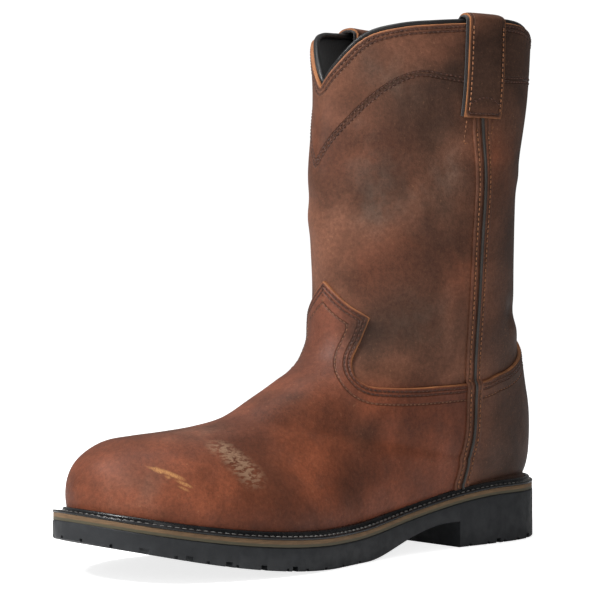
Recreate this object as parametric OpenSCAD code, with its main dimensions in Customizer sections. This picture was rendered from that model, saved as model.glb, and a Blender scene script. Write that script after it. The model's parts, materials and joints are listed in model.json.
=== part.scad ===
// Steel toe work boot, left foot, pull-on pattern.
// The toe points along -Y, the outer side of the foot along +X.
// The origin is on the ground under the middle of the heel.

/* [Size] */
// Length of the sole from heel to toe
sole_length = 312; // [300:1:325]
// Width of the sole across the ball of the foot
ball_width = 112; // [106:1:118]
// Height of the collar at the sides
collar_height = 289; // [275:1:305]

/* [Leather] */
// Thickness of the vamp and counter leather
panel_thickness = 2; // [1.6:0.1:2.2]
// Thickness of the shaft leather
shaft_thickness = 1.95; // [1.6:0.05:2.2]
// Thickness of the lining
lining_thickness = 1.25; // [0.8:0.05:1.5]

/* [Sole] */
// Height of the heel and its outsole under the midsole
heel_stack = 24; // [22:0.5:26]
// Thickness of the outsole under the ball
forepart_stack = 9; // [8:0.5:10]
// Thickness of the midsole
midsole_thickness = 4; // [3:0.5:5]
// Thickness of the welt strip
welt_thickness = 4.5; // [4:0.5:5]
// Distance from the heel's back to the line where the sole bends
flex_distance = 205; // [195:1:212]

/* [Pull straps] */
// Width of the pull strap
strap_width = 25; // [22:1:28]
// Length of the strap's outer leg
strap_leg = 55; // [45:1:60]

/* [Hidden] */

long = sole_length / 312;
wide = ball_width / 112;
heel_back = 40 * long;
flex_y = heel_back - flex_distance * long;
gap = 0.1;
lateral = 1;
medial = -1;

// ---------- curves ----------
function mix(a, b, t) = a + (b - a) * t;
function smooth(t) = let (c = max(0, min(1, t))) c * c * (3 - 2 * c);
function spline(p0, p1, p2, p3, f) =
    0.5 * (2 * p1 + (p2 - p0) * f + (2 * p0 - 5 * p1 + 4 * p2 - p3) * f * f
        + (3 * p1 - p0 - 3 * p2 + p3) * f * f * f);
// Smooth curve through the rows of a list, open at both ends
function along(rows, t) =
    let (n = len(rows), i = min(floor(max(0, t)), n - 2), f = min(n - 1, max(0, t)) - i,
        a = rows[i], b = rows[i + 1],
        before = i == 0 ? 2 * a - b : rows[i - 1],
        after = i == n - 2 ? 2 * b - a : rows[i + 2])
    spline(before, a, b, after, f);
// Smooth closed curve through the rows of a list
function around(rows, t) =
    let (n = len(rows), w = t - n * floor(t / n), i = floor(w) % n)
    spline(rows[(i + n - 1) % n], rows[i], rows[(i + 1) % n], rows[(i + 2) % n], w - floor(w));
function unit(v) = v / norm(v);
function fixed(p) = [round(p.x * 1e4) / 1e4, round(p.y * 1e4) / 1e4, round(p.z * 1e4) / 1e4];

// ---------- plan of the sole ----------
// Edge of the sole seen from above: heel, outer side, toe, inner side
PLAN = [for (p = [[0, 40], [22, 33.5], [36, 14], [39, -14], [38, -48], [39, -85], [47, -122],
    [55.5, -158], [56.5, -190], [49, -225], [31, -258], [-6, -272], [-33, -262], [-49, -234],
    [-54, -202], [-50, -166], [-40, -132], [-31, -100], [-30, -62], [-35, -22], [-35.5, 8],
    [-22, 32]]) [p.x * wide, p.y * long]];
plan_count = len(PLAN);
function plan_tangent(u) = unit(around(PLAN, u + 0.02) - around(PLAN, u - 0.02));
function plan_out(u) = let (t = plan_tangent(u)) [-t.y, t.x];
function plan_point(u, inset) = around(PLAN, u) - plan_out(u) * inset;
function plan_outline(inset, count) =
    [for (i = [0 : count - 1]) plan_point(plan_count * i / count, inset)];

// ---------- side curves of the sole, as heights over y ----------
function behind(y) = heel_back - y;
function toe_rise(y) = pow(max(0, behind(y) / long - 184) / 128, 1.8);
function heel_to_ball(y) = smooth((behind(y) / long - 45) / 130);
feather_heel = heel_stack + midsole_thickness + welt_thickness;
feather_ball = forepart_stack + midsole_thickness + welt_thickness;
function ground_z(y) = 20 * toe_rise(y);
function feather_z(y) = mix(feather_heel, feather_ball, heel_to_ball(y)) + 16.5 * toe_rise(y);
function upper_inset(y) = 6.3 + 3 * smooth((behind(y) / long - 60) / 130);

// ---------- outer surface of the leg and foot ----------
// Each row is one section: the front line (y, z), the back line (y, z), the place on the
// sole's plan, four side pulls from front to back, the angle at which it meets the sole
// and how much the section is crowned over the toes
leg_z = collar_height - 152;
function leg(f) = leg_z + (collar_height + 11 - leg_z) * f;
SECTIONS = [
    [-115.5, leg(1), 26, leg(1), 0, 21, 52, 72, 61, 0, 0],
    [-111.5, leg(0.693), 21, leg(0.693), 0, 18, 49, 71, 62, 0, 0],
    [-114.5, leg(0.417), 14, leg(0.417), 0, 19, 48, 68, 59, 0, 0],
    [-110, leg(0.202), 16.5, leg(0.172), 0, 26, 50, 63, 50, 0, 0],
    [-107.5, leg_z, 21, leg_z - 12, 0, 31, 49, 57, 44, 0, 0],
    [-114.5, 105.5, 31, 92, 0, 32, 45, 50, 42, 0, 0],
    [-135.8, 92, 39, 62, 0, 31, 42, 43, 46, 10, 0],
    [-154.5, 83, 34, feather_heel, 0, 30, 39, 43, 49, 18, 0],
    [-173.5, 75, 34, feather_heel, 1.1, 28, 32, 25, 28, 32, 0],
    [-191.5, 70, 34, feather_heel, 3, 27, 29, 20, 15, 70, 0.2],
    [-210, 68, 34, feather_heel, 5.2, 25, 26, 18, 16, 88, 0.6],
    [-227, 66.5, 34, feather_heel, 7.2, 23, 22, 14, 19, 90, 1],
    [-243, 64.5, 34, feather_heel, 8.6, 18, 18, 12, 17, 90, 1],
    [-257, 57, 34, feather_heel, 9.6, 13, 12, 9, 13, 90, 1],
    [-263, 45, 34, feather_heel, 10.4, 6, 6, 5, 7, 90, 1],
    [-263.5, 34, 34, feather_heel, 11, 1, 1, 1, 1, 90, 1]];
flare = 0.18;
degree = 5;
// A control point part of the way from front to foot, pushed sideways
function between(front, foot, part, part_z, push) =
    [mix(front.x, foot.x, part) + push, mix(front.y, foot.y, part), mix(front.z, foot.z, part_z)];
// The six control points of the section at t, on one side
function section(t, side) =
    let (r = along(SECTIONS, t), u = max(0, r[4]), w = side > 0 ? u : plan_count - u,
        tangent = plan_tangent(w) * side, out = plan_out(w),
        edge_y = around(PLAN, w).y, edge = plan_point(w, upper_inset(edge_y)),
        front = [-7 * smooth((-150 - r[0]) / 110), r[0] * long, r[1]],
        foot = u > 0 ? [edge.x, edge.y, feather_z(edge.y)] : [0, r[2] * long, r[3]],
        a = r[9], flat = tangent * cos(a) + out * sin(a) * flare, push = wide * side)
    [front, front + [r[5] * push, 0, 0],
        between(front, foot, 1 / 3, mix(1 / 3, 0.08, r[10]), r[6] * push),
        between(front, foot, 2 / 3, mix(2 / 3, 0.42, r[10]), r[7] * push),
        foot + [flat.x, flat.y, sin(a)] * r[8] * wide, foot];
CHOOSE = [[1, 0, 0, 0, 0, 0], [1, 1, 0, 0, 0, 0], [1, 2, 1, 0, 0, 0], [1, 3, 3, 1, 0, 0],
    [1, 4, 6, 4, 1, 0], [1, 5, 10, 10, 5, 1]];
function weights(n, s) = [for (k = [0 : n]) CHOOSE[n][k] * pow(1 - s, n - k) * pow(s, k)];
function bezier(c, s) = weights(degree, s) * c;
function bezier_slope(c, s) = weights(degree - 1, s) * [for (k = [0 : degree - 1]) c[k + 1] - c[k]];
// A ring holds the sections needed for points and normals at one t
function ring(t, side) = [section(t, side), section(t - 0.03, side), section(t + 0.03, side), side];
function ring_point(r, s, out) =
    let (along_t = bezier(r[2], s) - bezier(r[1], s), n = unit(cross(along_t, bezier_slope(r[0], s))))
    fixed(bezier(r[0], s) + n * r[3] * out);
function skin_point(t, s, side, out) = ring_point(ring(t, side), s, out);

// ---------- collar and seam lines ----------
// Height of the collar round the leg, front to back, below its highest point
COLLAR_DROP = [37, 24.5, 11, 5.5, 3.2, 1.5, 0, 1.5, 8, 14, 16];
function collar_drop(s) = along(COLLAR_DROP, s * 10);
leg_rise = (collar_height + 11 - leg(0.693));
function collar_t(s) = (11 + collar_drop(s)) / leg_rise;
// Path of the outer side seam down the boot: (section, place round it)
SEAM = [[0.75, 0.526], [1.38, 0.539], [2.1, 0.571], [3.08, 0.551], [4.48, 0.529], [5.53, 0.541],
    [6.46, 0.566], [7.05, 0.589], [7.75, 0.624], [8.51, 0.692], [8.94, 0.772], [9.16, 0.845],
    [9.28, 0.912], [9.33, 0.985]];
seam_end = len(SEAM) - 1;
// Finds the (section, place) of the skin point seen from the side at (y, z)
function settle(p, y, z, side, rounds) = rounds == 0 ? p :
    let (e = 0.01, a = skin_point(p[0], p[1], side, 0), b = skin_point(p[0] + e, p[1], side, 0),
        c = skin_point(p[0], p[1] + e, side, 0),
        bt = [b.y - a.y, b.z - a.z] / e, cs = [c.y - a.y, c.z - a.z] / e,
        miss = [y - a.y, z - a.z], area = bt[0] * cs[1] - bt[1] * cs[0])
    settle(p + [miss[0] * cs[1] - miss[1] * cs[0], bt[0] * miss[1] - bt[1] * miss[0]] / area,
        y, z, side, rounds - 1);
function seam_yz(f) = let (p = along(SEAM, seam_end * f), q = skin_point(p[0], p[1], lateral, 0)) [q.y, q.z];
function seam_place(f, side) = let (p = along(SEAM, seam_end * f), q = seam_yz(f))
    side == lateral ? p : settle(p, q[0], q[1], side, 4);

// ---------- shells ----------
// Faces of a slab between two grids of rows x columns points
function slab_faces(rows, cols, side) =
    let (half = rows * cols,
        tri = concat(
            [for (i = [0 : rows - 2], j = [0 : cols - 2]) let (a = i * cols + j, b = a + 1, c = b + cols, d = a + cols)
                each [[a, b, c], [a, c, d], [a + half, c + half, b + half], [a + half, d + half, c + half]]],
            [for (j = [0 : cols - 2]) let (a = j, b = j + 1, d = (rows - 1) * cols + j, c = d + 1)
                each [[b, a, a + half], [b, a + half, b + half], [d, c, c + half], [d, c + half, d + half]]],
            [for (i = [0 : rows - 2]) let (a = i * cols, d = a + cols, b = a + cols - 1, c = b + cols)
                each [[a, d, d + half], [a, d + half, a + half], [c, b, b + half], [c, b + half, c + half]]]))
    side > 0 ? tri : [for (f = tri) [f[0], f[2], f[1]]];
module slab(outer, inner, side) {
    polyhedron(concat([for (r = outer) each r], [for (r = inner) each r]),
        slab_faces(len(outer), len(outer[0]), side), convexity = 8);
}
// Layers share their rows and columns, so that a layer's facets lie parallel to its neighbour's
column_count = 14;
columns = [for (i = [0 : column_count]) i / column_count];
row_step = 0.4;
// The two halves share their points along the front and, above the sole, along the back
function shared(t, s) = s == 0 || (s == 1 && along(SECTIONS, t)[4] <= 0);
function half_point(t, s, side, out) = skin_point(t, s, shared(t, s) ? lateral : side, out);
// One side of a leather layer between two depths, from section first to last
module half_layer(inner, outer, first, last, side) {
    rows = [for (k = [0 : round((last - first) / row_step)]) first + k * row_step];
    slab([for (t = rows) [for (s = columns) half_point(t, s, side, outer)]],
        [for (t = rows) [for (s = columns) half_point(t, s, side, inner)]], side);
}
module layer(inner, outer, first, last) {
    half_layer(inner, outer, first, last, lateral);
    half_layer(inner, outer, first, last, medial);
}
// On the leg the first rows follow the collar, down to section leg_first
leg_first = 1.2;
leg_last = 7.2;
collar_rows = 3;
leg_rows = collar_rows + round((leg_last - leg_first) / row_step);
function leg_t(k, s) = k < collar_rows ? mix(collar_t(s), leg_first, k / collar_rows)
    : leg_first + (k - collar_rows) * row_step;
// Share of the first row by which a layer's top edge is lowered by drop
function lowered(drop, s) = drop / leg_rise * collar_rows / (leg_first - collar_t(s));
function leg_point(k, s, side, out, drop) = k > 0 ? half_point(leg_t(k, s), s, side, out)
    : fixed(mix(half_point(leg_t(0, s), s, side, out), half_point(leg_t(1, s), s, side, out), lowered(drop, s)));
module half_leg(inner, outer, drop, side) {
    slab([for (k = [0 : leg_rows]) [for (s = columns) leg_point(k, s, side, outer, drop)]],
        [for (k = [0 : leg_rows]) [for (s = columns) leg_point(k, s, side, inner, drop)]], side);
}
module leg_layer(inner, outer, drop) {
    half_leg(inner, outer, drop, lateral);
    half_leg(inner, outer, drop, medial);
}
// Limits well beyond the boot, for outlines and cuts
reach = 150;
below = -20;
above = 340;
toe_limit = -330;
back_limit = 60;
// Keeps what lies inside the shape drawn in the side view (y, z)
module side_view() {
    rotate([90, 0, 90]) linear_extrude(2 * reach, center = true) children();
}
module side_prism(points) side_view() polygon(points);
// The same for an outline in the front view, given as one half (x, z) from the side to the middle
module front_prism(half) {
    rotate([90, 0, 0]) linear_extrude(5 * reach, center = true)
        polygon(concat(half, [for (k = [len(half) - 2 : -1 : 0]) [-half[k].x, half[k].y]],
            [[-reach, below], [reach, below]]));
}
// Cuts shells as meshes: the first child keeps what the second covers
module trim() {
    resize([0, 0, 0]) intersection() {
        union() children(0);
        children(1);
    }
}

// ---------- panel outlines in the side view ----------
SEAM_LINE = concat([for (k = [0 : 24]) seam_yz(k / 24)], [[-38.4 * long, below]]);
seam_foot = [for (q = SEAM_LINE) if (q[1] < 95) q];
half_strip = 6.3;
strap_foot = collar_height - strap_leg;
// Strip over the seam, from just under the pull strap down to the sole
module strip_shape(extra) difference() {
    polygon(concat([for (q = SEAM_LINE) q - [half_strip + extra, 0]],
        [for (k = [len(SEAM_LINE) - 1 : -1 : 0]) SEAM_LINE[k] + [half_strip + extra, 0]]));
    translate([-reach, strap_foot - 1]) square(2 * reach);
}
// Everything under the feather line, where the upper ends on the welt
SOLE_Y = [for (k = [0 : 30]) mix(heel_back + 2, heel_back - sole_length - 4, k / 30)];
module under_feather() polygon(concat([for (y = SOLE_Y) [y, feather_z(y) + gap]],
    [[toe_limit, below], [back_limit, below]]));
// Side cut of an upper piece: its outline without what lies under the feather line
module upper_cut(outline) side_view() difference() {
    polygon(outline);
    under_feather();
}
// The same for a cover, which also stops beside the side strip
module cover_cut(outline) side_view() difference() {
    polygon(outline);
    under_feather();
    strip_shape(gap);
}
// Top edge of the vamp, from the front of the leg to the side seam
tongue_top = 146;
VAMP_TOP = [for (p = [[-140, tongue_top + 4], [-90, tongue_top + 4], [-97.5, 126], [-102.5, 115],
    [-107.5, 104.5], [-109.3, 97], [-106.5, 92.3], [-100, 90], [-88, 89], [-63, 88.8], [-43, 89.6]])
    [p.x * long, p.y]];
// Front view of the tongue that runs up the leg: half width and height
TONGUE = [[150, 126.4], [25, 126.4], [14, 133], [2, tongue_top - 1], [0, tongue_top]];
// Top edge of the counter, from the side seam to the back of the leg
COUNTER_TOP = [for (p = [[-34, 90.6], [-29, 91.3], [-16, 94.5], [-5, 97.2], [5, 101.5], [12, 107.5],
    [19, 115], [60, 121]]) [p.x * long, p.y]];
VAMP_OUTLINE = concat(VAMP_TOP, seam_foot, [[toe_limit, below], [toe_limit, tongue_top + 4]]);
COUNTER_OUTLINE = concat(COUNTER_TOP, [[back_limit, below]],
    [for (k = [len(seam_foot) - 1 : -1 : 0]) seam_foot[k]]);
// The shaft leather runs this far down under the vamp and counter
underlap = 12;
SHAFT_FLOOR = concat([[-140, tongue_top - underlap], [-107 * long, tongue_top - underlap],
    [-106 * long, 120], [-114 * long, 106], [-117 * long, 92], [-112 * long, 81]],
    [[-88 * long, 77], [-43 * long, 77], [-29 * long, 79], [-5 * long, 85], [14 * long, 98], [back_limit, 108]]);
seam_leg = [for (q = SEAM_LINE) if (q[1] > 77) q];
SHAFT_FRONT_OUTLINE = concat([for (p = SHAFT_FLOOR) if (p.x < -36) p],
    [for (k = [len(seam_leg) - 1 : -1 : 0]) [seam_leg[k].x - gap / 2, seam_leg[k].y]],
    [[-39, above], [-140, above]]);
SHAFT_BACK_OUTLINE = concat([for (k = [0 : len(seam_leg) - 1]) [seam_leg[k].x + gap / 2, seam_leg[k].y]],
    [for (p = SHAFT_FLOOR) if (p.x > -36) p], [[back_limit, above], [-39 + gap, above]]);
cap_back = -205 * long;
counter_front = -63.3 * long;

// ---------- upper ----------
skin_gap = gap / 2;
module vamp() color([0.40, 0.20, 0.13])
    trim() {
        layer(skin_gap, panel_thickness, 3.6, 14.8);
        intersection() { cover_cut(VAMP_OUTLINE); front_prism(TONGUE); }
    }
module counter_cover() color([0.36, 0.18, 0.12])
    trim() { layer(skin_gap, panel_thickness, 3.6, 9.6); cover_cut(COUNTER_OUTLINE); }
module shaft_front() color([0.33, 0.18, 0.12])
    trim() { leg_layer(-shaft_thickness, -skin_gap, 0); side_prism(SHAFT_FRONT_OUTLINE); }
module shaft_back() color([0.30, 0.16, 0.11])
    trim() { leg_layer(-shaft_thickness, -skin_gap, 0); side_prism(SHAFT_BACK_OUTLINE); }
lining_out = -shaft_thickness - 3 * gap;
lining_in = lining_out - lining_thickness;
// Drop of the leg lining's top edge, which ends under the binding
lining_drop = 2.5;
// The leg lining ends where the foot lining begins
LINING_SPLIT = [[-160, 95], [-60 * long, 92], [back_limit, 88]];
module shaft_lining() color([0.06, 0.06, 0.06])
    trim() {
        leg_layer(lining_in, lining_out, lining_drop);
        side_prism(concat(LINING_SPLIT, [[back_limit, above], [-160, above]]));
    }
module vamp_lining() color([0.12, 0.12, 0.12])
    resize([0, 0, 0]) difference() {
        intersection() {
            layer(lining_in, lining_out, 4.4, 14.4);
            upper_cut(concat([for (p = LINING_SPLIT) [p.x, p.y - gap]],
                [[back_limit, below], [toe_limit, below], [toe_limit, 95]]));
        }
        layer(-shaft_thickness - gap, -skin_gap, 4.4, 14.4);
    }
// Middle layer of the foot: interlining, counter, cap rim and steel cap, one behind the other
module middle_layer(first, last, outline) trim() {
    layer(-shaft_thickness, -skin_gap, first, last);
    upper_cut(outline);
}
rim_width = 8;
rim_back = cap_back + rim_width;
over_foot = 130;
module vamp_interlining() color([0.75, 0.70, 0.60])
    middle_layer(4.4, 13.2, [[rim_back + gap, over_foot], [-125 * long, over_foot], [-117.2 * long, 92],
        [-112 * long, 80.8], [-88 * long, 76.8], [counter_front - gap, 76.8],
        [counter_front - gap, below], [rim_back + gap, below]]);
module heel_counter() color([0.55, 0.48, 0.38])
    middle_layer(4.8, 10.4, [[counter_front, below], [counter_front, 74], [-29 * long, 76], [-5 * long, 82],
        [14 * long, 95], [back_limit, 105], [back_limit, below]]);
module toe_cap_rim() color([0.10, 0.10, 0.11])
    middle_layer(8.4, 13.6, [[cap_back + gap, below], [rim_back, below], [rim_back, over_foot],
        [cap_back + gap, over_foot]]);
module steel_toe_cap() color([0.72, 0.74, 0.76])
    middle_layer(8.4, 14.4, [[cap_back, below], [cap_back, over_foot], [toe_limit, over_foot], [toe_limit, below]]);

// Rounded bead of the lining rolled over the collar, inside the leather's edge
binding_radius = 1.75;
binding_depth = shaft_thickness + binding_radius + 0.65;
binding_points = 36;
function binding_place(k) =
    let (s = k <= binding_points ? k / binding_points : 2 - k / binding_points,
        side = k <= binding_points ? lateral : medial)
    skin_point(collar_t(s), s, side, -binding_depth);
module ring_tube(path, radius, sides) {
    n = len(path);
    points = [for (i = [0 : n - 1])
        let (tangent = unit(path[(i + 1) % n] - path[(i + n - 1) % n]),
            out = unit(cross(tangent, [0, 0, 1])), up = cross(out, tangent))
        [for (j = [0 : sides - 1]) let (a = 360 * j / sides)
            path[i] + out * cos(a) * radius + up * sin(a) * radius]];
    polyhedron([for (r = points) each r],
        [for (i = [0 : n - 1], j = [0 : sides - 1])
            let (a = i * sides + j, b = i * sides + (j + 1) % sides,
                c = ((i + 1) % n) * sides + (j + 1) % sides, d = ((i + 1) % n) * sides + j)
            each [[a, b, c], [a, c, d]]], convexity = 8);
}
module collar_binding() color([0.05, 0.05, 0.05])
    ring_tube([for (k = [0 : 2 * binding_points - 1]) binding_place(k)], binding_radius, 8);

// ---------- side strips and piping ----------
strip_thickness = 1.6;
module side_strip(side) trim() {
    half_layer(skin_gap, strip_thickness, 1.2, 10, side);
    side_view() difference() {
        strip_shape(0);
        under_feather();
    }
}
module open_tube(path, outs, radius, sides) {
    n = len(path);
    points = [for (i = [0 : n - 1])
        let (tangent = unit(path[min(n - 1, i + 1)] - path[max(0, i - 1)]),
            out = outs[i], beside = unit(cross(tangent, out)))
        [for (j = [0 : sides - 1]) let (a = 360 * j / sides)
            path[i] + out * cos(a) * radius + beside * sin(a) * radius]];
    polyhedron([for (r = points) each r], concat(
        [for (i = [0 : n - 2], j = [0 : sides - 1])
            let (a = i * sides + j, b = i * sides + (j + 1) % sides, c = b + sides, d = a + sides)
            each [[a, c, b], [a, d, c]]],
        [[for (j = [0 : sides - 1]) j]], [[for (j = [sides - 1 : -1 : 0]) (n - 1) * sides + j]]), convexity = 8);
}
piping_radius = 0.9;
piping_rows = 32;
// The piping starts under the pull strap and ends just above the welt's bead
piping_start = 0.085;
piping_end = 0.93;
module side_piping(side) {
    places = [for (k = [0 : piping_rows]) seam_place(mix(piping_start, piping_end, k / piping_rows), side)];
    low = [for (p = places) skin_point(p[0], p[1], side, strip_thickness + 0.4 + piping_radius)];
    high = [for (p = places) skin_point(p[0], p[1], side, 4)];
    resize([0, 0, 0]) difference() {
        open_tube(low, [for (k = [0 : piping_rows]) unit(high[k] - low[k])], piping_radius, 6);
        side_strip(side);
    }
}
module side_strip_lateral() color([0.34, 0.18, 0.12]) side_strip(lateral);
module side_strip_medial() color([0.34, 0.18, 0.12]) side_strip(medial);
module side_piping_lateral() color([0.25, 0.24, 0.24]) side_piping(lateral);
module side_piping_medial() color([0.25, 0.24, 0.24]) side_piping(medial);

// ---------- pull straps ----------
strap_s = 0.535;
// Leg height and section number are in proportion near the collar
function t_at_height(z) = (collar_height + 11 - z) / leg_rise;
function strap_point(z, out, across, side) =
    let (top = collar_height - collar_drop(strap_s), zc = min(z, top), r = ring(t_at_height(zc), side),
        slope = norm(bezier_slope(r[0], strap_s)) * degree)
    ring_point(r, strap_s + across / slope, out) + [0, 0, z - zc];
// Loop of webbing over the collar: centre line at distance out, then over and down inside
module strap_loop(out, thickness, width, foot, tail, side) {
    centre_out = -3.9;
    radius = out - centre_out;
    top = collar_height - collar_drop(strap_s) + 0.6;
    bend = 10;
    steps = 5;
    across = [for (k = [0 : steps]) width * (k / steps - 0.5)];
    path = concat([for (k = [0 : 3]) [out, mix(foot, top - 3, k / 3), 0]],
        [for (k = [0 : bend]) [centre_out + radius * cos(180 * k / bend), top + radius * sin(180 * k / bend), 180 * k / bend]],
        [for (k = [1 : 3]) [centre_out - radius, mix(top, tail, k / 3), 180]]);
    h = thickness / 2;
    slab([for (p = path) [for (c = across) strap_point(p[1] + h * sin(p[2]), p[0] + h * cos(p[2]), c, side)]],
        [for (p = path) [for (c = across) strap_point(p[1] - h * sin(p[2]), p[0] - h * cos(p[2]), c, side)]], -side);
}
backing_thickness = 1.4;
strap_thickness = 1.8;
backing_out = 0.15 + backing_thickness / 2;
strap_out = backing_out + backing_thickness / 2 + 0.1 + strap_thickness / 2;
module pull_strap(side) strap_loop(strap_out, strap_thickness, strap_width, strap_foot, collar_height - 48, side);
module strap_backing(side)
    strap_loop(backing_out, backing_thickness, strap_width + 2.4, strap_foot + 0.8, collar_height - 44, side);
module pull_strap_lateral() color([0.35, 0.18, 0.12]) pull_strap(lateral);
module pull_strap_medial() color([0.35, 0.18, 0.12]) pull_strap(medial);
module strap_backing_lateral() color([0.20, 0.18, 0.17]) strap_backing(lateral);
module strap_backing_medial() color([0.20, 0.18, 0.17]) strap_backing(medial);

// ---------- sole ----------
heel_breast = heel_back - 82 * long;
arch_end = heel_back - 160 * long;
arch_z = 14;
function under_arch(y) = y > heel_breast ? 0 : y > arch_end
    ? arch_z * (1 - smooth((heel_breast - y) / (heel_breast - arch_end) * 1.1 - 0.1)) : ground_z(y);
function profile(low, high, from, to) =
    let (ys = [for (y = SOLE_Y) if (y < from && y > to) y], all = concat([from], ys, [to]))
    concat([for (y = all) [y, feather_z(y) - high]],
        [for (k = [len(all) - 1 : -1 : 0]) [all[k], feather_z(all[k]) - low]]);
// Slab of the sole between two depths under the feather line
module sole_slab(low, high, inset, from, to) {
    intersection() {
        translate([0, 0, -5]) linear_extrude(90) polygon(plan_outline(inset, 88));
        side_prism(profile(low, high, from, to));
    }
}
front_cut = flex_y - gap;
rear_cut = flex_y + gap;
toe_far = heel_back - sole_length - 3;
heel_far = heel_back + 1;
outsole_top = welt_thickness + midsole_thickness + gap;
heel_floor = [for (y = SOLE_Y) if (y < heel_breast && y > rear_cut) y];
forepart_floor = [for (y = SOLE_Y) if (y < front_cut && y > toe_far) y];
// A notch in the sole's edge at u on the plan, and a groove across the tread
notch_step = 0.55;
module notch(u) {
    p = around(PLAN, u);
    t = plan_tangent(u);
    translate([p.x, p.y, ground_z(p.y)]) rotate([0, 0, atan2(t.y, t.x)]) cube([3.6, 13, 8], center = true);
}
module tread_groove(y) {
    tilt = atan((ground_z(y - 2) - ground_z(y + 2)) / 4);
    translate([0, y, ground_z(y)]) rotate([-tilt, 0, 0]) cube([150, 3.4, 5], center = true);
}
module outsole_forepart() color([0.09, 0.10, 0.11])
    difference() {
        intersection() {
            translate([0, 0, -5]) linear_extrude(90) polygon(plan_outline(0, 88));
            side_prism(concat([[front_cut, ground_z(front_cut)]], [for (y = forepart_floor) [y, ground_z(y)]],
                [[toe_far, ground_z(toe_far)], [toe_far, feather_z(toe_far) - outsole_top]],
                [for (k = [len(forepart_floor) - 1 : -1 : 0]) [forepart_floor[k], feather_z(forepart_floor[k]) - outsole_top]],
                [[front_cut, feather_z(front_cut) - outsole_top]]));
        }
        for (u = [0.25 : notch_step : plan_count]) if (around(PLAN, u).y < front_cut - 7) notch(u);
        for (k = [0 : 4]) tread_groove(flex_y - (14 + 19 * k) * long);
    }
module outsole_heel() color([0.09, 0.10, 0.11])
    difference() {
        intersection() {
            translate([0, 0, -5]) linear_extrude(90) polygon(plan_outline(0, 88));
            side_prism(concat([[heel_far, 0], [heel_breast, 0], [heel_breast, arch_z]],
                [for (y = heel_floor) [y, under_arch(y)]], [[rear_cut, 0], [rear_cut, feather_z(rear_cut) - outsole_top]],
                [for (k = [len(heel_floor) - 1 : -1 : 0]) [heel_floor[k], feather_z(heel_floor[k]) - outsole_top]],
                [for (k = [9 : -1 : 0]) let (y = mix(heel_far, heel_breast, k / 9)) [y, feather_z(y) - outsole_top]]));
        }
        for (u = [0.25 : notch_step : plan_count]) if (around(PLAN, u).y > heel_breast + 6) notch(u);
        for (d = [24, 52]) tread_groove(heel_back - d * long);
    }
midsole_low = welt_thickness + midsole_thickness;
module midsole_forepart() color([0.55, 0.38, 0.22])
    sole_slab(welt_thickness + gap, midsole_low, 0.3, front_cut, toe_far);
module midsole_rear() color([0.55, 0.38, 0.22])
    sole_slab(welt_thickness + gap, midsole_low, 0.3, heel_far, rear_cut);
// Inside the welt ring: insole board above, shank and cork below
welt_inner = 11.4;
board_thickness = 2.4;
board_inset = welt_inner + 0.3;
module insole_board_forepart() color([0.62, 0.50, 0.36])
    sole_slab(gap, board_thickness, board_inset, front_cut, toe_far);
module insole_board_rear() color([0.62, 0.50, 0.36])
    sole_slab(gap, board_thickness, board_inset, heel_far, rear_cut);
module cork_filler() color([0.68, 0.50, 0.32])
    sole_slab(board_thickness + gap, welt_thickness, board_inset, front_cut, toe_far);
module steel_shank() color([0.60, 0.62, 0.64])
    intersection() {
        side_prism(profile(board_thickness + gap, board_thickness + 1.7, heel_back - 38 * long, heel_back - 170 * long));
        translate([0, 0, -5]) linear_extrude(60) polygon([for (k = [0 : 23])
            let (a = 15 * k) [2 + 8 * cos(a), heel_back - 104 * long + (a > 0 && a < 180 ? 56 : -56) + 8 * sin(a)]]);
    }
footbed_inset = 14;
module footbed() color([0.15, 0.15, 0.16])
    intersection() {
        translate([0, 0, -5]) linear_extrude(90) polygon(plan_outline(footbed_inset, 66));
        side_prism(profile(-gap, -4.1, heel_far, toe_far));
    }

// Welt: a strip with a raised bead beside the leather and a channel for the stitching
bead_height = 2.2;
channel_depth = 0.6;
function welt_profile(y) =
    let (w = upper_inset(y) - panel_thickness)
    [[welt_inner, 0], [w - 1.25, 0], [w - 1.35, bead_height * 0.8], [w - 1.8, bead_height],
        [w - 2.3, bead_height * 0.7], [w - 2.5, -channel_depth], [0.85, -channel_depth], [0.6, -0.05], [0, -0.4], [0, -welt_thickness], [welt_inner, -welt_thickness]];
module welt_sweep(first, last, count) {
    rows = [for (i = [0 : count]) let (u = mix(first, last, i / count), y = around(PLAN, u).y)
        [for (q = welt_profile(y)) let (p = plan_point(u, q[0])) [p.x, p.y, feather_z(p.y) + q[1]]]];
    n = len(rows[0]);
    polyhedron([for (r = rows) each r], concat(
        [for (i = [0 : count - 1], j = [0 : n - 1])
            let (a = i * n + j, b = i * n + (j + 1) % n, c = b + n, d = a + n) each [[a, b, c], [a, c, d]]],
        [[for (j = [n - 1 : -1 : 0]) j]], [[for (j = [0 : n - 1]) count * n + j]]), convexity = 10);
}
module storm_welt_forepart() color([0.05, 0.05, 0.05])
    trim() { welt_sweep(6, 16.2, 40); side_prism([[front_cut, below], [front_cut, over_foot], [toe_limit, over_foot], [toe_limit, below]]); }
module storm_welt_rear() color([0.05, 0.05, 0.05])
    trim() { welt_sweep(14, plan_count + 8, 60); side_prism([[rear_cut, below], [rear_cut, over_foot], [back_limit, over_foot], [back_limit, below]]); }
// Lock stitches lying in the welt's channel
stitch_inset = 1.35;
module stitch(u) {
    p = plan_point(u, stitch_inset);
    tangent = plan_tangent(u);
    slope = (feather_z(p.y + 1) - feather_z(p.y - 1)) / 2 * tangent.y;
    translate([p.x, p.y, feather_z(p.y) + 0.05]) rotate([0, -atan(slope), atan2(tangent.y, tangent.x)])
        cube([3.4, 0.6, 0.8], center = true);
}
stitch_pitch = 4.7;
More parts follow.
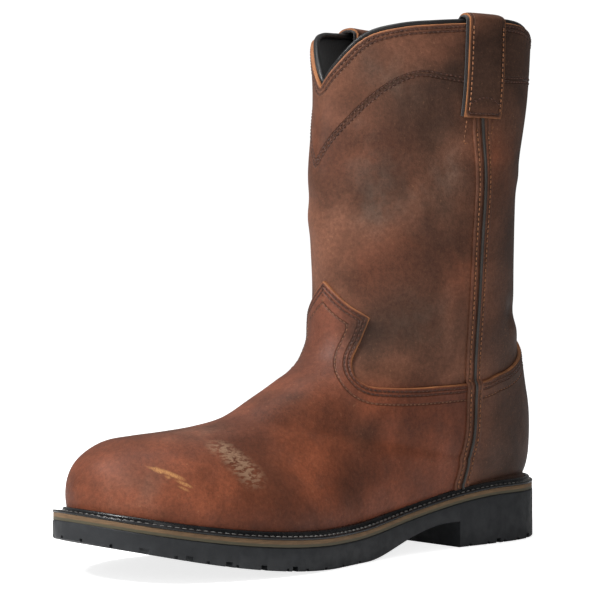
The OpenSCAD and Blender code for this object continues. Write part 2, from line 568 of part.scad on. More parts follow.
// Length along the channel against the place on the plan
run_step = 0.1;
RUN = [for (u = 0, run = 0; u <= plan_count;
    run = run + norm(plan_point(u + run_step, stitch_inset) - plan_point(u, stitch_inset)), u = u + run_step) [run, u]];
STITCHES = [for (run = [0 : stitch_pitch : RUN[len(RUN) - 1][0] - stitch_pitch]) lookup(run, RUN)];
module welt_stitching_forepart() color([0.75, 0.72, 0.68])
    for (u = STITCHES) if (plan_point(u, stitch_inset).y < flex_y - 2.5) stitch(u);
module welt_stitching_rear() color([0.75, 0.72, 0.68])
    for (u = STITCHES) if (plan_point(u, stitch_inset).y > flex_y + 2.5) stitch(u);

outsole_forepart();
outsole_heel();
midsole_forepart();
midsole_rear();
storm_welt_forepart();
storm_welt_rear();
welt_stitching_forepart();
welt_stitching_rear();
insole_board_forepart();
insole_board_rear();
steel_shank();
cork_filler();
footbed();
steel_toe_cap();
toe_cap_rim();
vamp();
vamp_interlining();
vamp_lining();
counter_cover();
heel_counter();
shaft_front();
shaft_back();
shaft_lining();
collar_binding();
side_strip_lateral();
side_strip_medial();
side_piping_lateral();
side_piping_medial();
pull_strap_lateral();
pull_strap_medial();
strap_backing_lateral();
strap_backing_medial();
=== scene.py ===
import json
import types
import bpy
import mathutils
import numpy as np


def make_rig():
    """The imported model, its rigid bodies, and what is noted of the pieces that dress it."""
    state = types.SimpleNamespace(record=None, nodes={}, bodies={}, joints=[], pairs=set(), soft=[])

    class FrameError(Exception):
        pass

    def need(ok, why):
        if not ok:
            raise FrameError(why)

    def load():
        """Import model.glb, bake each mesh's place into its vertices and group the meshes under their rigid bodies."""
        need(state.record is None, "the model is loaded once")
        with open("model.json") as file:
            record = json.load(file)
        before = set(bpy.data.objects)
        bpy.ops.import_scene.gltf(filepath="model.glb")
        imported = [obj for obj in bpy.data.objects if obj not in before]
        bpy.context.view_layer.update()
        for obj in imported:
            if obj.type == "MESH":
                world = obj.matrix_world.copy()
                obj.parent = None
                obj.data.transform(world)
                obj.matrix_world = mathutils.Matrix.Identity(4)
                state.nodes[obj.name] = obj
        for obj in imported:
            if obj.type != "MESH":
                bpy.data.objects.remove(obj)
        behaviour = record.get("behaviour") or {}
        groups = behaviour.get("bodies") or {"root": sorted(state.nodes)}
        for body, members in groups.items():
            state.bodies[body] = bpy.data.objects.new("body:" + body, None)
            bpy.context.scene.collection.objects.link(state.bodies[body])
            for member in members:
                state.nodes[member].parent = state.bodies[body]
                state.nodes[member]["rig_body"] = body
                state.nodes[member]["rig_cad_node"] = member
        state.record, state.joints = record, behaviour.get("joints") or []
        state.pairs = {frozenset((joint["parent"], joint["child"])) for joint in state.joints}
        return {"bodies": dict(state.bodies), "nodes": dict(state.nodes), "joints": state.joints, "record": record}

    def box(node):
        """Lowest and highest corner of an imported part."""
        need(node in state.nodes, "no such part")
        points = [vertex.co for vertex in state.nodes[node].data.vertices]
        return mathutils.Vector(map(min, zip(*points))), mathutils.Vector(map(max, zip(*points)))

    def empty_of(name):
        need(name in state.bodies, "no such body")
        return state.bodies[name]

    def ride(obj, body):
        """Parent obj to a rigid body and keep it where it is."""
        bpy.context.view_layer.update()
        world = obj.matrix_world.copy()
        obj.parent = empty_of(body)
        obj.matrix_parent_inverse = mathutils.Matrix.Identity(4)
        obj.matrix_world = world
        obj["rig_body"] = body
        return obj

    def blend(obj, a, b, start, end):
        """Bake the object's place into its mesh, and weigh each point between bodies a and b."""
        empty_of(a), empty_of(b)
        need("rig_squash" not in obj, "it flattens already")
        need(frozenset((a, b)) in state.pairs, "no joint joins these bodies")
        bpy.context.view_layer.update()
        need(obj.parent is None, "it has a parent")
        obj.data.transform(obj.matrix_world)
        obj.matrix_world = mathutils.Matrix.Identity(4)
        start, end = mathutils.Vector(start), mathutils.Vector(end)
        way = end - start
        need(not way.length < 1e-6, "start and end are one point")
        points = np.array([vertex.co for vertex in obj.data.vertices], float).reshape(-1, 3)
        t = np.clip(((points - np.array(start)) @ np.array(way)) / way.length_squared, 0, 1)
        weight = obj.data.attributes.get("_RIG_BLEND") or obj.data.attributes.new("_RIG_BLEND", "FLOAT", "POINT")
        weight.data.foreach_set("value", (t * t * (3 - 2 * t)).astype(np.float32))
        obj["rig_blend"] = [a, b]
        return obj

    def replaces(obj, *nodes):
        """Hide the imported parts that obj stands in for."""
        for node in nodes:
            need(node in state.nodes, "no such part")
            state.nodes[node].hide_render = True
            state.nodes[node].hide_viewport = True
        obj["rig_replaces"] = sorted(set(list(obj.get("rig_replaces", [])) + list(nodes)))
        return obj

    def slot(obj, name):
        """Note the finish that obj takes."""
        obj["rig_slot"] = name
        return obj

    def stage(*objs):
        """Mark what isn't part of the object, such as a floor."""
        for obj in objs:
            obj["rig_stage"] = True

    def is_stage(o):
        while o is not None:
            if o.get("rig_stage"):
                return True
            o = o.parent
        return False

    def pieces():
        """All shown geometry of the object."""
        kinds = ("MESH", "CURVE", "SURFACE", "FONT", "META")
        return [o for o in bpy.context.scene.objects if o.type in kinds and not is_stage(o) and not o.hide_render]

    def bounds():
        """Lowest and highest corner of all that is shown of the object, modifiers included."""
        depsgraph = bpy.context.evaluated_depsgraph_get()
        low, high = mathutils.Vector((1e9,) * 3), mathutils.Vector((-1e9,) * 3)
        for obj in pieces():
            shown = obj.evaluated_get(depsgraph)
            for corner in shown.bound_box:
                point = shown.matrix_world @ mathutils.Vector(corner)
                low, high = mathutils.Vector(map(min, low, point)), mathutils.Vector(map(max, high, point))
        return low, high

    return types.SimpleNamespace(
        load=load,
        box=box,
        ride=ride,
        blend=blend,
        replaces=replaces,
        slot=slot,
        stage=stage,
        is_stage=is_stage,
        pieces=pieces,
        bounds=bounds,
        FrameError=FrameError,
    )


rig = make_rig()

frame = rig.load()

import json
import math

import bpy
import numpy as np
from mathutils import Vector

cad_low, cad_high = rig.bounds()

# All shapes are worked out in millimetres in the frame's own axes: toe along -Y, outer side +X.
MM = 0.001
LATERAL, MEDIAL = 1, -1


def low(node):
    return np.array(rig.box(node)[0]) / MM


def high(node):
    return np.array(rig.box(node)[1]) / MM


# ---------------------------------------------------------------- curves
def mix(a, b, t):
    return a + (b - a) * t


def smooth(t):
    t = np.clip(t, 0, 1)
    return t * t * (3 - 2 * t)


def ramp(value, start, end):
    return smooth((value - start) / (end - start))


def spline(rows, t, closed=False):
    """Smooth curve through the rows of an array, at positions t counted in rows."""
    rows, t, n = np.asarray(rows, float), np.asarray(t, float), len(rows)
    if closed:
        t = t % n
        i = np.floor(t).astype(int) % n
        f = t - np.floor(t)
        p0, p1, p2, p3 = rows[(i - 1) % n], rows[i], rows[(i + 1) % n], rows[(i + 2) % n]
    else:
        t = np.clip(t, 0, n - 1)
        i = np.minimum(np.floor(t).astype(int), n - 2)
        f = t - i
        wide = np.vstack([2 * rows[0] - rows[1], rows, 2 * rows[-1] - rows[-2]])
        p0, p1, p2, p3 = wide[i], wide[i + 1], wide[i + 2], wide[i + 3]
    f = f[..., None]
    return 0.5 * (
        2 * p1 + (p2 - p0) * f + (2 * p0 - 5 * p1 + 4 * p2 - p3) * f**2
        + (3 * p1 - p0 - 3 * p2 + p3) * f**3
    )


# ---------------------------------------------------------------- plan of the sole
# Edge of a 312 mm sole from above: heel, outer side, toe, inner side
PLAN = np.array([
    (0, 40), (22, 33.5), (36, 14), (39, -14), (38, -48), (39, -85), (47, -122), (55.5, -158),
    (56.5, -190), (49, -225), (31, -258), (-6, -272), (-33, -262), (-49, -234), (-54, -202),
    (-50, -166), (-40, -132), (-31, -100), (-30, -62), (-35, -22), (-35.5, 8), (-22, 32),
], float)
PLAN_COUNT = len(PLAN)
every = np.linspace(0, PLAN_COUNT, 2000)
plan_span = np.ptp(spline(PLAN, every, True), axis=0)
sole_low = np.minimum(low("outsole_forepart"), low("outsole_heel"))
sole_high = np.maximum(high("outsole_forepart"), high("outsole_heel"))
wide, long = (sole_high - sole_low)[:2] / plan_span
PLAN *= (wide, long)
heel_back = sole_high[1]

# Heights read from the frame
BEAD = 2.2
feather_heel = high("storm_welt_rear")[2] - BEAD
feather_ball = feather_heel - 15
collar = high("shaft_front")[2]
flex_y = (low("outsole_heel")[1] + high("outsole_forepart")[1]) / 2


def plan_frame(u):
    d = spline(PLAN, u + 0.02, True) - spline(PLAN, u - 0.02, True)
    d /= np.linalg.norm(d, axis=-1, keepdims=True)
    return d, np.stack([-d[..., 1], d[..., 0]], -1)


def plan_point(u, inset):
    return spline(PLAN, u, True) - plan_frame(u)[1] * np.asarray(inset)[..., None]


def behind(y):
    return (heel_back - y) / long


def toe_rise(y):
    return np.clip((behind(y) - 184) / 128, 0, None) ** 1.8


def ground_z(y):
    return 20 * toe_rise(y)


def feather_z(y):
    return mix(feather_heel, feather_ball, smooth((behind(y) - 45) / 130)) + 16.5 * toe_rise(y)


def upper_inset(y):
    return 6.3 + 3 * smooth((behind(y) - 60) / 130)


# ---------------------------------------------------------------- skin of the boot
# The skin is the face on which the panels lie. Each row is one section of it: the front line
# (y, z), the back line (y, z), the place on the sole's plan, four side pulls from front to back,
# the angle at which it meets the sole and how much it is crowned over the toes.
leg_z = collar - 152


def leg(f):
    return leg_z + (collar + 11 - leg_z) * f


SECTIONS = np.array([
    [-115.5, leg(1), 26, leg(1), 0, 21, 52, 72, 61, 0, 0],
    [-111.5, leg(0.693), 21, leg(0.693), 0, 18, 49, 71, 62, 0, 0],
    [-114.5, leg(0.417), 14, leg(0.417), 0, 19, 48, 68, 59, 0, 0],
    [-110, leg(0.202), 16.5, leg(0.172), 0, 26, 50, 63, 50, 0, 0],
    [-107.5, leg_z, 21, leg_z - 12, 0, 31, 49, 57, 44, 0, 0],
    [-114.5, 105.5, 30.2, 92, 0, 32, 45, 50, 42, 0, 0],
    [-135.8, 92, 36, 62, 0, 31, 42, 43, 46, 10, 0],
    [-154.5, 83, 34, feather_heel, 0, 30, 39, 43, 49, 18, 0],
    [-173.5, 74, 34, feather_heel, 1.1, 28, 32, 25, 28, 32, 0],
    [-191.5, 70, 34, feather_heel, 3, 27, 29, 20, 15, 70, 0.2],
    [-210, 68, 34, feather_heel, 5.2, 25, 26, 18, 16, 88, 0.6],
    [-227, 66.5, 34, feather_heel, 7.2, 23, 22, 14, 19, 90, 1],
    [-243, 64.5, 34, feather_heel, 8.6, 18, 18, 12, 17, 90, 1],
    [-257, 57, 34, feather_heel, 9.6, 13, 12, 9, 13, 90, 1],
    [-263, 45, 34, feather_heel, 10.4, 6, 6, 5, 7, 90, 1],
    [-263.5, 34, 34, feather_heel, 11, 0, 0, 0, 1, 90, 1],
], float)
FLARE = 0.18
LEG_STEP, FOOT_STEP, LEG_ROWS = 0.035, 0.06, 4.2
COLUMNS = 85


def section_grid(t, side):
    """Points of one half of the skin: rows t, columns from the front line to the back or sole."""
    r = spline(SECTIONS, t)
    front_y, front_z, back_y, back_z, u, k1, b1, b2, k2, angle, crown = r.T
    u = np.maximum(u, 0)
    w = u if side > 0 else PLAN_COUNT - u
    tangent, out = plan_frame(w)
    tangent = tangent * side
    edge = plan_point(w, upper_inset(spline(PLAN, w, True)[:, 1]))
    on_sole = u > 0
    foot = np.stack([
        np.where(on_sole, edge[:, 0], 0),
        np.where(on_sole, edge[:, 1], back_y * long),
        np.where(on_sole, feather_z(edge[:, 1]), back_z),
    ], -1)
    front = np.stack([-7 * smooth((-150 - front_y) / 110), front_y * long, front_z], -1)
    a = np.radians(angle)
    rise = np.stack([
        tangent[:, 0] * np.cos(a) + out[:, 0] * np.sin(a) * FLARE,
        tangent[:, 1] * np.cos(a) + out[:, 1] * np.sin(a) * FLARE,
        np.sin(a),
    ], -1)
    push = np.array([side * wide, 0, 0])

    def between(part, part_z, pull):
        p = mix(front, foot, part)
        p[:, 2] = mix(front[:, 2], foot[:, 2], mix(part, part_z, crown))
        return p + pull[:, None] * push

    control = [
        front, front + k1[:, None] * push, between(1 / 3, 0.08, b1), between(2 / 3, 0.42, b2),
        foot + rise * k2[:, None] * wide, foot,
    ]
    s = np.linspace(0, 1, COLUMNS)[None, :, None]
    return sum(math.comb(5, k) * (1 - s) ** (5 - k) * s**k * control[k][:, None] for k in range(6))


def rows_of_skin():
    leg_rows = np.arange(0, LEG_ROWS, LEG_STEP)
    foot_rows = np.linspace(LEG_ROWS, len(SECTIONS) - 1, 181)
    return np.concatenate([leg_rows, foot_rows])


def even_out(grid, t):
    """Takes the ripple out of the heel and waist, where the sections fan out."""
    t_even = np.arange(0, t[-1] + 1e-6, FOOT_STEP)
    reach = 26
    weights = np.exp(-0.5 * (np.arange(-reach, reach + 1) * FOOT_STEP / 0.5) ** 2)
    weights /= weights.sum()
    result = grid.copy()
    share_t = ramp(t, 5.4, 6.5) * (1 - ramp(t, 9.8, 11))
    share_s = ramp(np.linspace(0, 1, COLUMNS), 0.25, 0.5) * (1 - ramp(np.linspace(0, 1, COLUMNS), 0.94, 1))
    for j in range(COLUMNS):
        for k in range(3):
            line = np.interp(t_even, t, grid[:, j, k])
            padded = np.pad(line, reach, mode="reflect", reflect_type="odd")
            soft = np.interp(t, t_even, np.convolve(padded, weights, mode="valid"))
            result[:, j, k] = mix(grid[:, j, k], soft, share_t * share_s[j])
    return result


# Soft folds of the leather: start, end, half width and height (a hollow when negative)
FOLDS = [
    ((2, -109, 199), (44, -72, 181), 7, 1.3),
    ((6, -108, 187), (40, -75, 171), 6, -1.2),
    ((-6, -109, 178), (-40, -74, 188), 8, 1.1),
    ((-4, -109, 190), (-36, -80, 200), 7, -1.0),
    ((30, 4, 197), (0, 16, 190), 7, -1.6),
    ((-30, 4, 196), (0, 16, 190), 7, -1.6),
    ((36, 2, 205), (6, 15, 203), 7, 1.0),
    ((37, 2, 119), (8, 21, 112), 6, 1.3),
    ((38, -2, 131), (8, 19, 125), 6, -1.3),
    ((-36, 2, 122), (-8, 20, 114), 6, 1.2),
    ((-36, 0, 133), (-8, 18, 127), 6, -1.1),
    ((14, -112, 118), (36, -86, 104), 6, -0.9),
    ((-12, -113, 119), (-34, -88, 106), 6, -0.9),
    ((20, -125, 92), (44, -110, 66), 8, -0.8),
    ((-18, -126, 92), (-36, -108, 66), 8, -0.8),
    ((24, -80, 232), (30, -88, 196), 12, 0.8),
    ((46, -66, 240), (47, -62, 200), 10, -0.8),
]


def segment_distance(points, a, b):
    a, b = np.array(a, float), np.array(b, float)
    f = np.clip(((points - a) @ (b - a)) / ((b - a) @ (b - a)), 0, 1)
    return np.linalg.norm(points - (a + f[..., None] * (b - a)), axis=-1)


class Skin:
    """Both halves of the skin welded into one mesh, with its normals."""

    def __init__(self, halves, t, stride=1):
        rows = np.arange(0, len(t), stride)
        if rows[-1] != len(t) - 1:
            rows = np.append(rows, len(t) - 1)
        columns = np.arange(0, COLUMNS, stride)
        self.rows, self.columns = rows, columns
        grids = {side: halves[side][np.ix_(rows, columns)] for side in halves}
        n, m = len(rows), len(columns)
        index = {LATERAL: np.arange(n * m).reshape(n, m), MEDIAL: np.arange(n * m, 2 * n * m).reshape(n, m)}
        closed_back = spline(SECTIONS, t[rows])[:, 4] <= 0
        index[MEDIAL][:, 0] = index[LATERAL][:, 0]
        index[MEDIAL][closed_back, -1] = index[LATERAL][closed_back, -1]
        index[MEDIAL][-1] = index[LATERAL][-1]
        self.points = np.concatenate([grids[LATERAL].reshape(-1, 3), grids[MEDIAL].reshape(-1, 3)])
        quads = []
        for side in (LATERAL, MEDIAL):
            i = index[side]
            corners = [i[:-1, :-1], i[1:, :-1], i[1:, 1:], i[:-1, 1:]]
            quads.append(np.stack(corners if side > 0 else corners[::-1], -1).reshape(-1, 4))
        self.faces = np.concatenate(quads)
        self.normals = point_normals(self.points, self.faces)
        self.side = np.repeat([LATERAL, MEDIAL], n * m)
        i, j = np.meshgrid(rows, columns, indexing="ij")
        self.place = np.tile(np.stack([i, j], -1).reshape(-1, 2), (2, 1)).astype(float)
        self.grids = grids
        self.index = index


def point_normals(points, faces):
    p = points[faces]
    n = np.cross(p[:, 2] - p[:, 0], p[:, 3] - p[:, 1])
    total = np.zeros_like(points)
    for k in range(4):
        np.add.at(total, faces[:, k], n)
    return total / np.maximum(np.linalg.norm(total, axis=1, keepdims=True), 1e-9)


t_rows = rows_of_skin()
halves = {side: even_out(section_grid(t_rows, side), t_rows) for side in (LATERAL, MEDIAL)}
plain = Skin(halves, t_rows)
bumps = sum(h * np.exp(-(segment_distance(plain.points, a, b) / w) ** 2) for a, b, w, h in FOLDS)
folded = plain.points + plain.normals * bumps[:, None]
halves = {side: folded[plain.index[side]] for side in halves}
skin = Skin(halves, t_rows)
coarse = Skin(halves, t_rows, 2)


# ---------------------------------------------------------------- lines drawn on the skin
def sample(values, side, place):
    """Reads a per-point array of the skin at fractional (row, column) places on one side."""
    grid = values[skin.index[side]]
    i = np.clip(place[:, 0], 0, grid.shape[0] - 1.001)
    j = np.clip(place[:, 1], 0, grid.shape[1] - 1.001)
    i0, j0 = i.astype(int), j.astype(int)
    fi, fj = (i - i0)[:, None], (j - j0)[:, None]
    return mix(mix(grid[i0, j0], grid[i0 + 1, j0], fi), mix(grid[i0, j0 + 1], grid[i0 + 1, j0 + 1], fi), fj)


def locate(points, side):
    """Fractional (row, column) places of points near one side of the skin."""
    grid = halves[side]
    found = []
    for p in np.asarray(points, float) * (side, 1, 1):
        d = np.linalg.norm(grid - p, axis=-1)
        i, j = np.unravel_index(d.argmin(), d.shape)
        a, b = min(max(i, 1), grid.shape[0] - 2), min(max(j, 1), grid.shape[1] - 2)
        across = np.stack([grid[a + 1, b] - grid[a - 1, b], grid[a, b + 1] - grid[a, b - 1]], -1) / 2
        step = np.linalg.lstsq(across, p - grid[i, j], rcond=None)[0]
        found.append((i + np.clip(step[0], -1, 1), j + np.clip(step[1], -1, 1)))
    return np.array(found)


def path(parts, side):
    """Smooth line over the skin through lists of points; each list ends in a corner."""
    places = []
    for part in parts:
        knots = np.array(part, float)
        points = spline(knots, np.linspace(0, len(knots) - 1, 12 * len(knots)))
        places.append(locate(points, side))
    return np.concatenate(places)


def distance_to(points, line):
    """Distance of points from a line given as many close points."""
    best = np.full(len(points), 1e9)
    for start in range(0, len(line) - 1, 40):
        a, b = line[start : start + 40], line[start + 1 : start + 41]
        a = a[: len(b)]
        middle, reach = a.mean(0), np.linalg.norm(a - a.mean(0), axis=1).max() + 5
        near = np.linalg.norm(points - middle, axis=1) < reach + np.minimum(best, 40)
        p = points[near][:, None]
        ab = b - a
        f = np.clip(((p - a) * ab).sum(-1) / np.maximum((ab * ab).sum(-1), 1e-9), 0, 1)
        d = np.linalg.norm(p - (a + f[..., None] * ab), axis=-1).min(1)
        best[near] = np.minimum(best[near], d)
    return best


def inside(places, polygon):
    """Even-odd test of (row, column) places against a closed polygon."""
    x, y = places[:, 0], places[:, 1]
    result = np.zeros(len(x), bool)
    x1, y1 = polygon[-1]
    for x2, y2 in polygon:
        if y1 != y2:
            crosses = ((y1 > y) != (y2 > y)) & (x < (x2 - x1) * (y - y1) / (y2 - y1) + x1)
            result ^= crosses
        x1, y1 = x2, y2
    return result


class Line:
    """A line drawn on both sides of the skin."""

    def __init__(self, parts, to_front=False, to_back=False):
        self.places, self.points = {}, {}
        for side in (LATERAL, MEDIAL):
            places = path(parts, side)
            if to_front:
                places = np.vstack([[places[0, 0], 0], places]) if places[0, 1] > 0 else places
                places[0, 1] = 0
            if to_back:
                places = np.vstack([places, [places[-1, 0], COLUMNS - 1]])
            self.places[side] = places
            self.points[side] = sample(skin.points, side, places)

    def distance(self, mesh):
        both = [distance_to(mesh.points, self.points[side]) for side in (LATERAL, MEDIAL)]
        return np.minimum(*both)

    def field(self, mesh, closing):
        """Distance from the line, positive inside the polygon that closing(side) completes."""
        d = self.distance(mesh)
        sign = np.full(len(d), -1.0)
        for side in (LATERAL, MEDIAL):
            polygon = np.vstack([self.places[side], closing(side)])
            mine = mesh.side == side
            sign[mine & inside(mesh.place, polygon)] = 1
        return d * sign


LAST_ROW, LAST_COLUMN = len(t_rows) - 1, COLUMNS - 1
OVER = 2  # polygons run this far past the borders of a half

SEAM = [(53.2, -37, 291), (51.5, -39.4, 262), (51.2, -39.4, 232), (50.8, -36.7, 200.8), (48.6, -36.9, 163.9),
        (44.2, -36.2, 113.9), (40.1, -34.7, 85.8), (38.5, -34.8, 65.5), (37, -36.6, 50), (33, -38.4, 32.5)]
VAMP_EDGE = [[(0, -107.3, 146.5), (13.9, -104.8, 134.5), (25.6, -98.2, 126.6)],
             [(25.6, -98.2, 126.6), (23.4, -103, 115), (21, -107, 104.6), (25.8, -109.3, 96.4),
              (31.2, -104.1, 91.1), (35.5, -90.9, 89.4), (38.4, -76.7, 88.8), (40.4, -63.1, 89),
              (41.4, -39.8, 90), (41, -31, 91)]]
COUNTER_EDGE = [[(41.3, -42, 89.2), (40.5, -25.3, 91.6), (39.4, -15.7, 94.5), (37, -5.1, 97),
                 (31.5, 8.4, 103), (20, 19, 112), (8, 24, 118), (0, 25.6, 119.5)]]
COLLAR_DROP = np.array([37, 24.5, 11, 5.5, 3.2, 1.5, 0, 0.8, 5, 12.5, 16.0])[:, None]


def drop_at(column):
    return spline(COLLAR_DROP, column / LAST_COLUMN * 10)[..., 0]


class CollarLine(Line):
    """The top edge of the leather round the leg."""

    def __init__(self):
        self.places, self.points = {}, {}
        columns = np.linspace(0, LAST_COLUMN, 260)
        for side in (LATERAL, MEDIAL):
            grid = halves[side]
            target = collar - drop_at(columns)
            rows = []
            for c, z in zip(columns, target):
                j = min(int(c), LAST_COLUMN - 1)
                line = mix(grid[:200, j, 2], grid[:200, j + 1, 2], c - j)
                rows.append(np.interp(-z, -line, np.arange(200)))
            self.places[side] = np.stack([rows, columns], -1)
            self.points[side] = sample(skin.points, side, self.places[side])


DECO = [[(0, -114.9, 208.9), (8, -111.3, 221.9), (15.7, -104.1, 233.4), (22.7, -96, 243.6),
         (31, -85.3, 253.1), (38.3, -73.7, 258), (43.3, -63.5, 257.2), (48.6, -49.6, 255.6),
         (53.4, -26.7, 256.4), (49.4, 0, 258), (38, 12, 258), (20, 23, 256), (0, 26, 255)]]

seam = Line([SEAM])
deco = Line(DECO, to_front=True, to_back=True)
vamp_edge = Line(VAMP_EDGE, to_front=True)
counter_edge = Line(COUNTER_EDGE, to_back=True)
collar_line = CollarLine()


SOLE_BACK, SOLE_FRONT = [LAST_ROW + OVER, LAST_COLUMN + OVER], [LAST_ROW + OVER, -OVER]


def below_collar(mesh):
    return collar_line.field(mesh, lambda side: [SOLE_BACK, SOLE_FRONT])


def before_seam(mesh):
    def closing(side):
        places = seam.places[side]
        top_front = [[-OVER, -OVER], [-OVER, places[0, 1]]]
        return [[places[-1, 0], LAST_COLUMN + OVER], SOLE_BACK, SOLE_FRONT] + top_front

    return seam.field(mesh, closing)


def below_edge(line, mesh):
    """Distance from the vamp's or counter's edge, positive towards the sole."""
    def closing(side):
        places = line.places[side]
        return [[places[-1, 0], LAST_COLUMN + OVER], SOLE_BACK, SOLE_FRONT, [places[0, 0], -OVER]]

    return line.field(mesh, closing)


# ---------------------------------------------------------------- sheets cut from the skin
SNAP = 0.1


class Sheet:
    """Part of the skin: points, normals and named values, with faces as padded rows of indices."""

    def __init__(self, mesh, **values):
        self.points, self.normals = mesh.points.copy(), mesh.normals.copy()
        self.values = {name: v.astype(float).copy() for name, v in values.items()}
        self.faces = np.pad(mesh.faces, ((0, 0), (0, 4)), constant_values=-1)

    def cut(self, name, level, keep_low=False):
        """Splits the faces along name == level and drops the lower part unless it is kept."""
        f = self.values[name] - level
        f[np.abs(f) < SNAP] = 0
        ids = np.where(self.faces >= 0, self.faces, self.faces[:, :1])
        above, under = (f[ids] > 0).any(1), (f[ids] < 0).any(1)
        mixed = above & under
        kept = [self.faces[~mixed & (above | keep_low)]]
        made, parents, shares, fresh = {}, [], [], []

        def crossing(a, b):
            key = (min(a, b), max(a, b))
            if key not in made:
                made[key] = len(f) + len(parents)
                parents.append(key)
                shares.append(f[key[0]] / (f[key[0]] - f[key[1]]))
            return made[key]

        for row in self.faces[mixed]:
            loop = [int(v) for v in row if v >= 0]
            sides = {1: [], -1: []}
            for a, b in zip(loop, loop[1:] + loop[:1]):
                for sign in (1, -1):
                    if f[a] * sign >= 0:
                        sides[sign].append(a)
                if f[a] * f[b] < 0:
                    new = crossing(a, b)
                    sides[1].append(new)
                    sides[-1].append(new)
            for sign in (1, -1) if keep_low else (1,):
                if 3 <= len(sides[sign]) <= 8:
                    fresh.append(sides[sign] + [-1] * (8 - len(sides[sign])))
        if fresh:
            kept.append(np.array(fresh))
        self.faces = np.concatenate(kept)
        if parents:
            a, b = np.array(parents).T
            w = np.array(shares)
            self.points = np.vstack([self.points, mix(self.points[a], self.points[b], w[:, None])])
            n = mix(self.normals[a], self.normals[b], w[:, None])
            self.normals = np.vstack([self.normals, n / np.linalg.norm(n, axis=1, keepdims=True)])
            for key, v in self.values.items():
                self.values[key] = np.concatenate([v, mix(v[a], v[b], w)])
        return self

    def tidy(self):
        """Forgets the points that no face uses."""
        used = np.unique(self.faces[self.faces >= 0])
        new = np.full(len(self.points), -1)
        new[used] = np.arange(len(used))
        self.faces = np.where(self.faces >= 0, new[self.faces], -1)
        self.points, self.normals = self.points[used], self.normals[used]
        self.values = {name: v[used] for name, v in self.values.items()}
        return self


def build(name, points, faces, **values):
    """Mesh object from points in millimetres; values become per-point attributes."""
    mesh = bpy.data.meshes.new(name)
    mesh.from_pydata((np.asarray(points) * MM).tolist(), [], faces)
    for key, v in values.items():
        attribute = mesh.attributes.new(key, "FLOAT", "POINT")
        attribute.data.foreach_set("value", np.asarray(v, np.float32))
    piece = bpy.data.objects.new(name, mesh)
    bpy.context.scene.collection.objects.link(piece)
    mesh.polygons.foreach_set("use_smooth", [True] * len(mesh.polygons))
    mesh.set_sharp_from_angle(angle=math.radians(50))
    return piece


def shell(name, sheet, outer, inner):
    """Closed leather piece between two heights over the skin; each height is a number or an array."""
    sheet.tidy()
    n = len(sheet.points)
    top = sheet.points + sheet.normals * np.broadcast_to(outer, n)[:, None]
    bottom = sheet.points + sheet.normals * np.broadcast_to(inner, n)[:, None]
    loops = [[int(v) for v in row if v >= 0] for row in sheet.faces]
    edges = {}
    for loop in loops:
        for a, b in zip(loop, loop[1:] + loop[:1]):
            edges[(a, b)] = True
    rim = [[b, a, a + n, b + n] for a, b in edges if (b, a) not in edges]
    faces = loops + [[v + n for v in reversed(loop)] for loop in loops] + rim
    values = {key: np.tile(v, 2) for key, v in sheet.values.items()}
    values.update(paint(np.vstack([top, bottom])))
    return build(name, np.vstack([top, bottom]), faces, **values)


# ---------------------------------------------------------------- colour maps painted on the leather
# Places where the oiled leather is darker or redder, and patches of painted sheen: centre, radius and strength
DARK_SPOTS = [
    ((57, -40, 265), 24, 0.6), ((26, -103, 118), 14, 0.6), ((46, -76, 160), 26, 0.35),
    ((50, -52, 246), 22, 0.5), ((40, -74, 226), 24, 0.45), ((24, -88, 243), 20, 0.35),
    ((34, -90, 120), 26, 0.5), ((47, -62, 180), 24, 0.35), ((10, -150, 80), 30, 0.4),
    ((44, -190, 42), 26, 0.35), ((36, -110, 66), 14, 0.5), ((30, -120, 40), 22, 0.3),
    ((-40, -60, 200), 30, 0.5), ((-44, -190, 40), 30, 0.3), ((-34, -60, 120), 30, 0.4),
]
RED_SPOTS = [
    ((30, -245, 40), 38, 0.8), ((0, -260, 45), 30, 0.7), ((48, -200, 36), 30, 0.6),
    ((34, -140, 62), 34, 0.8), ((38, -80, 62), 30, 0.8), ((44, -84, 164), 18, 0.6),
    ((30, -98, 150), 22, 0.5), ((12, -108, 215), 24, 0.6), ((34, -86, 215), 22, 0.6),
    ((47, -56, 150), 22, 0.6), ((50, -30, 215), 18, 0.5), ((-36, -140, 60), 34, 0.8),
    ((-40, -230, 45), 34, 0.7), ((-46, -60, 250), 30, 0.5), ((0, 24, 170), 26, 0.4),
]
# Patches of painted sheen: a grey haze where the oiled leather shines
PAINTED_SHEEN_SPOTS = [
    ((28, -92, 192), 24, 0.9), ((18, -102, 225), 14, 0.7), ((34, -84, 252), 14, 0.6),
    ((40, -72, 128), 26, 0.6), ((-2, -205, 69), 24, 0.6), ((20, -250, 46), 16, 0.5),
    ((22, -100, 262), 12, 0.5), ((46, -58, 206), 18, 0.5), ((-38, -84, 150), 28, 0.7),
    ((-30, -210, 60), 26, 0.5), ((0, 18, 220), 26, 0.5),
]


def blobs(points, spots):
    total = np.zeros(len(points))
    for centre, radius, strength in spots:
        d = np.linalg.norm(points - np.array(centre), axis=1)
        total += strength * np.exp(-(d / radius) ** 2)
    return np.clip(total, 0, 1)


def paint(points):
    # Darker spots of the leather plus painted shade growing towards the heel, redder spots, and patches of painted
    # sheen
    return {
        "dark": np.clip(blobs(points, DARK_SPOTS) + 0.85 * ramp(points[:, 1], -52, 4), 0, 1),
        "red": blobs(points, RED_SPOTS),
        "painted_sheen": blobs(points, PAINTED_SHEEN_SPOTS),
    }


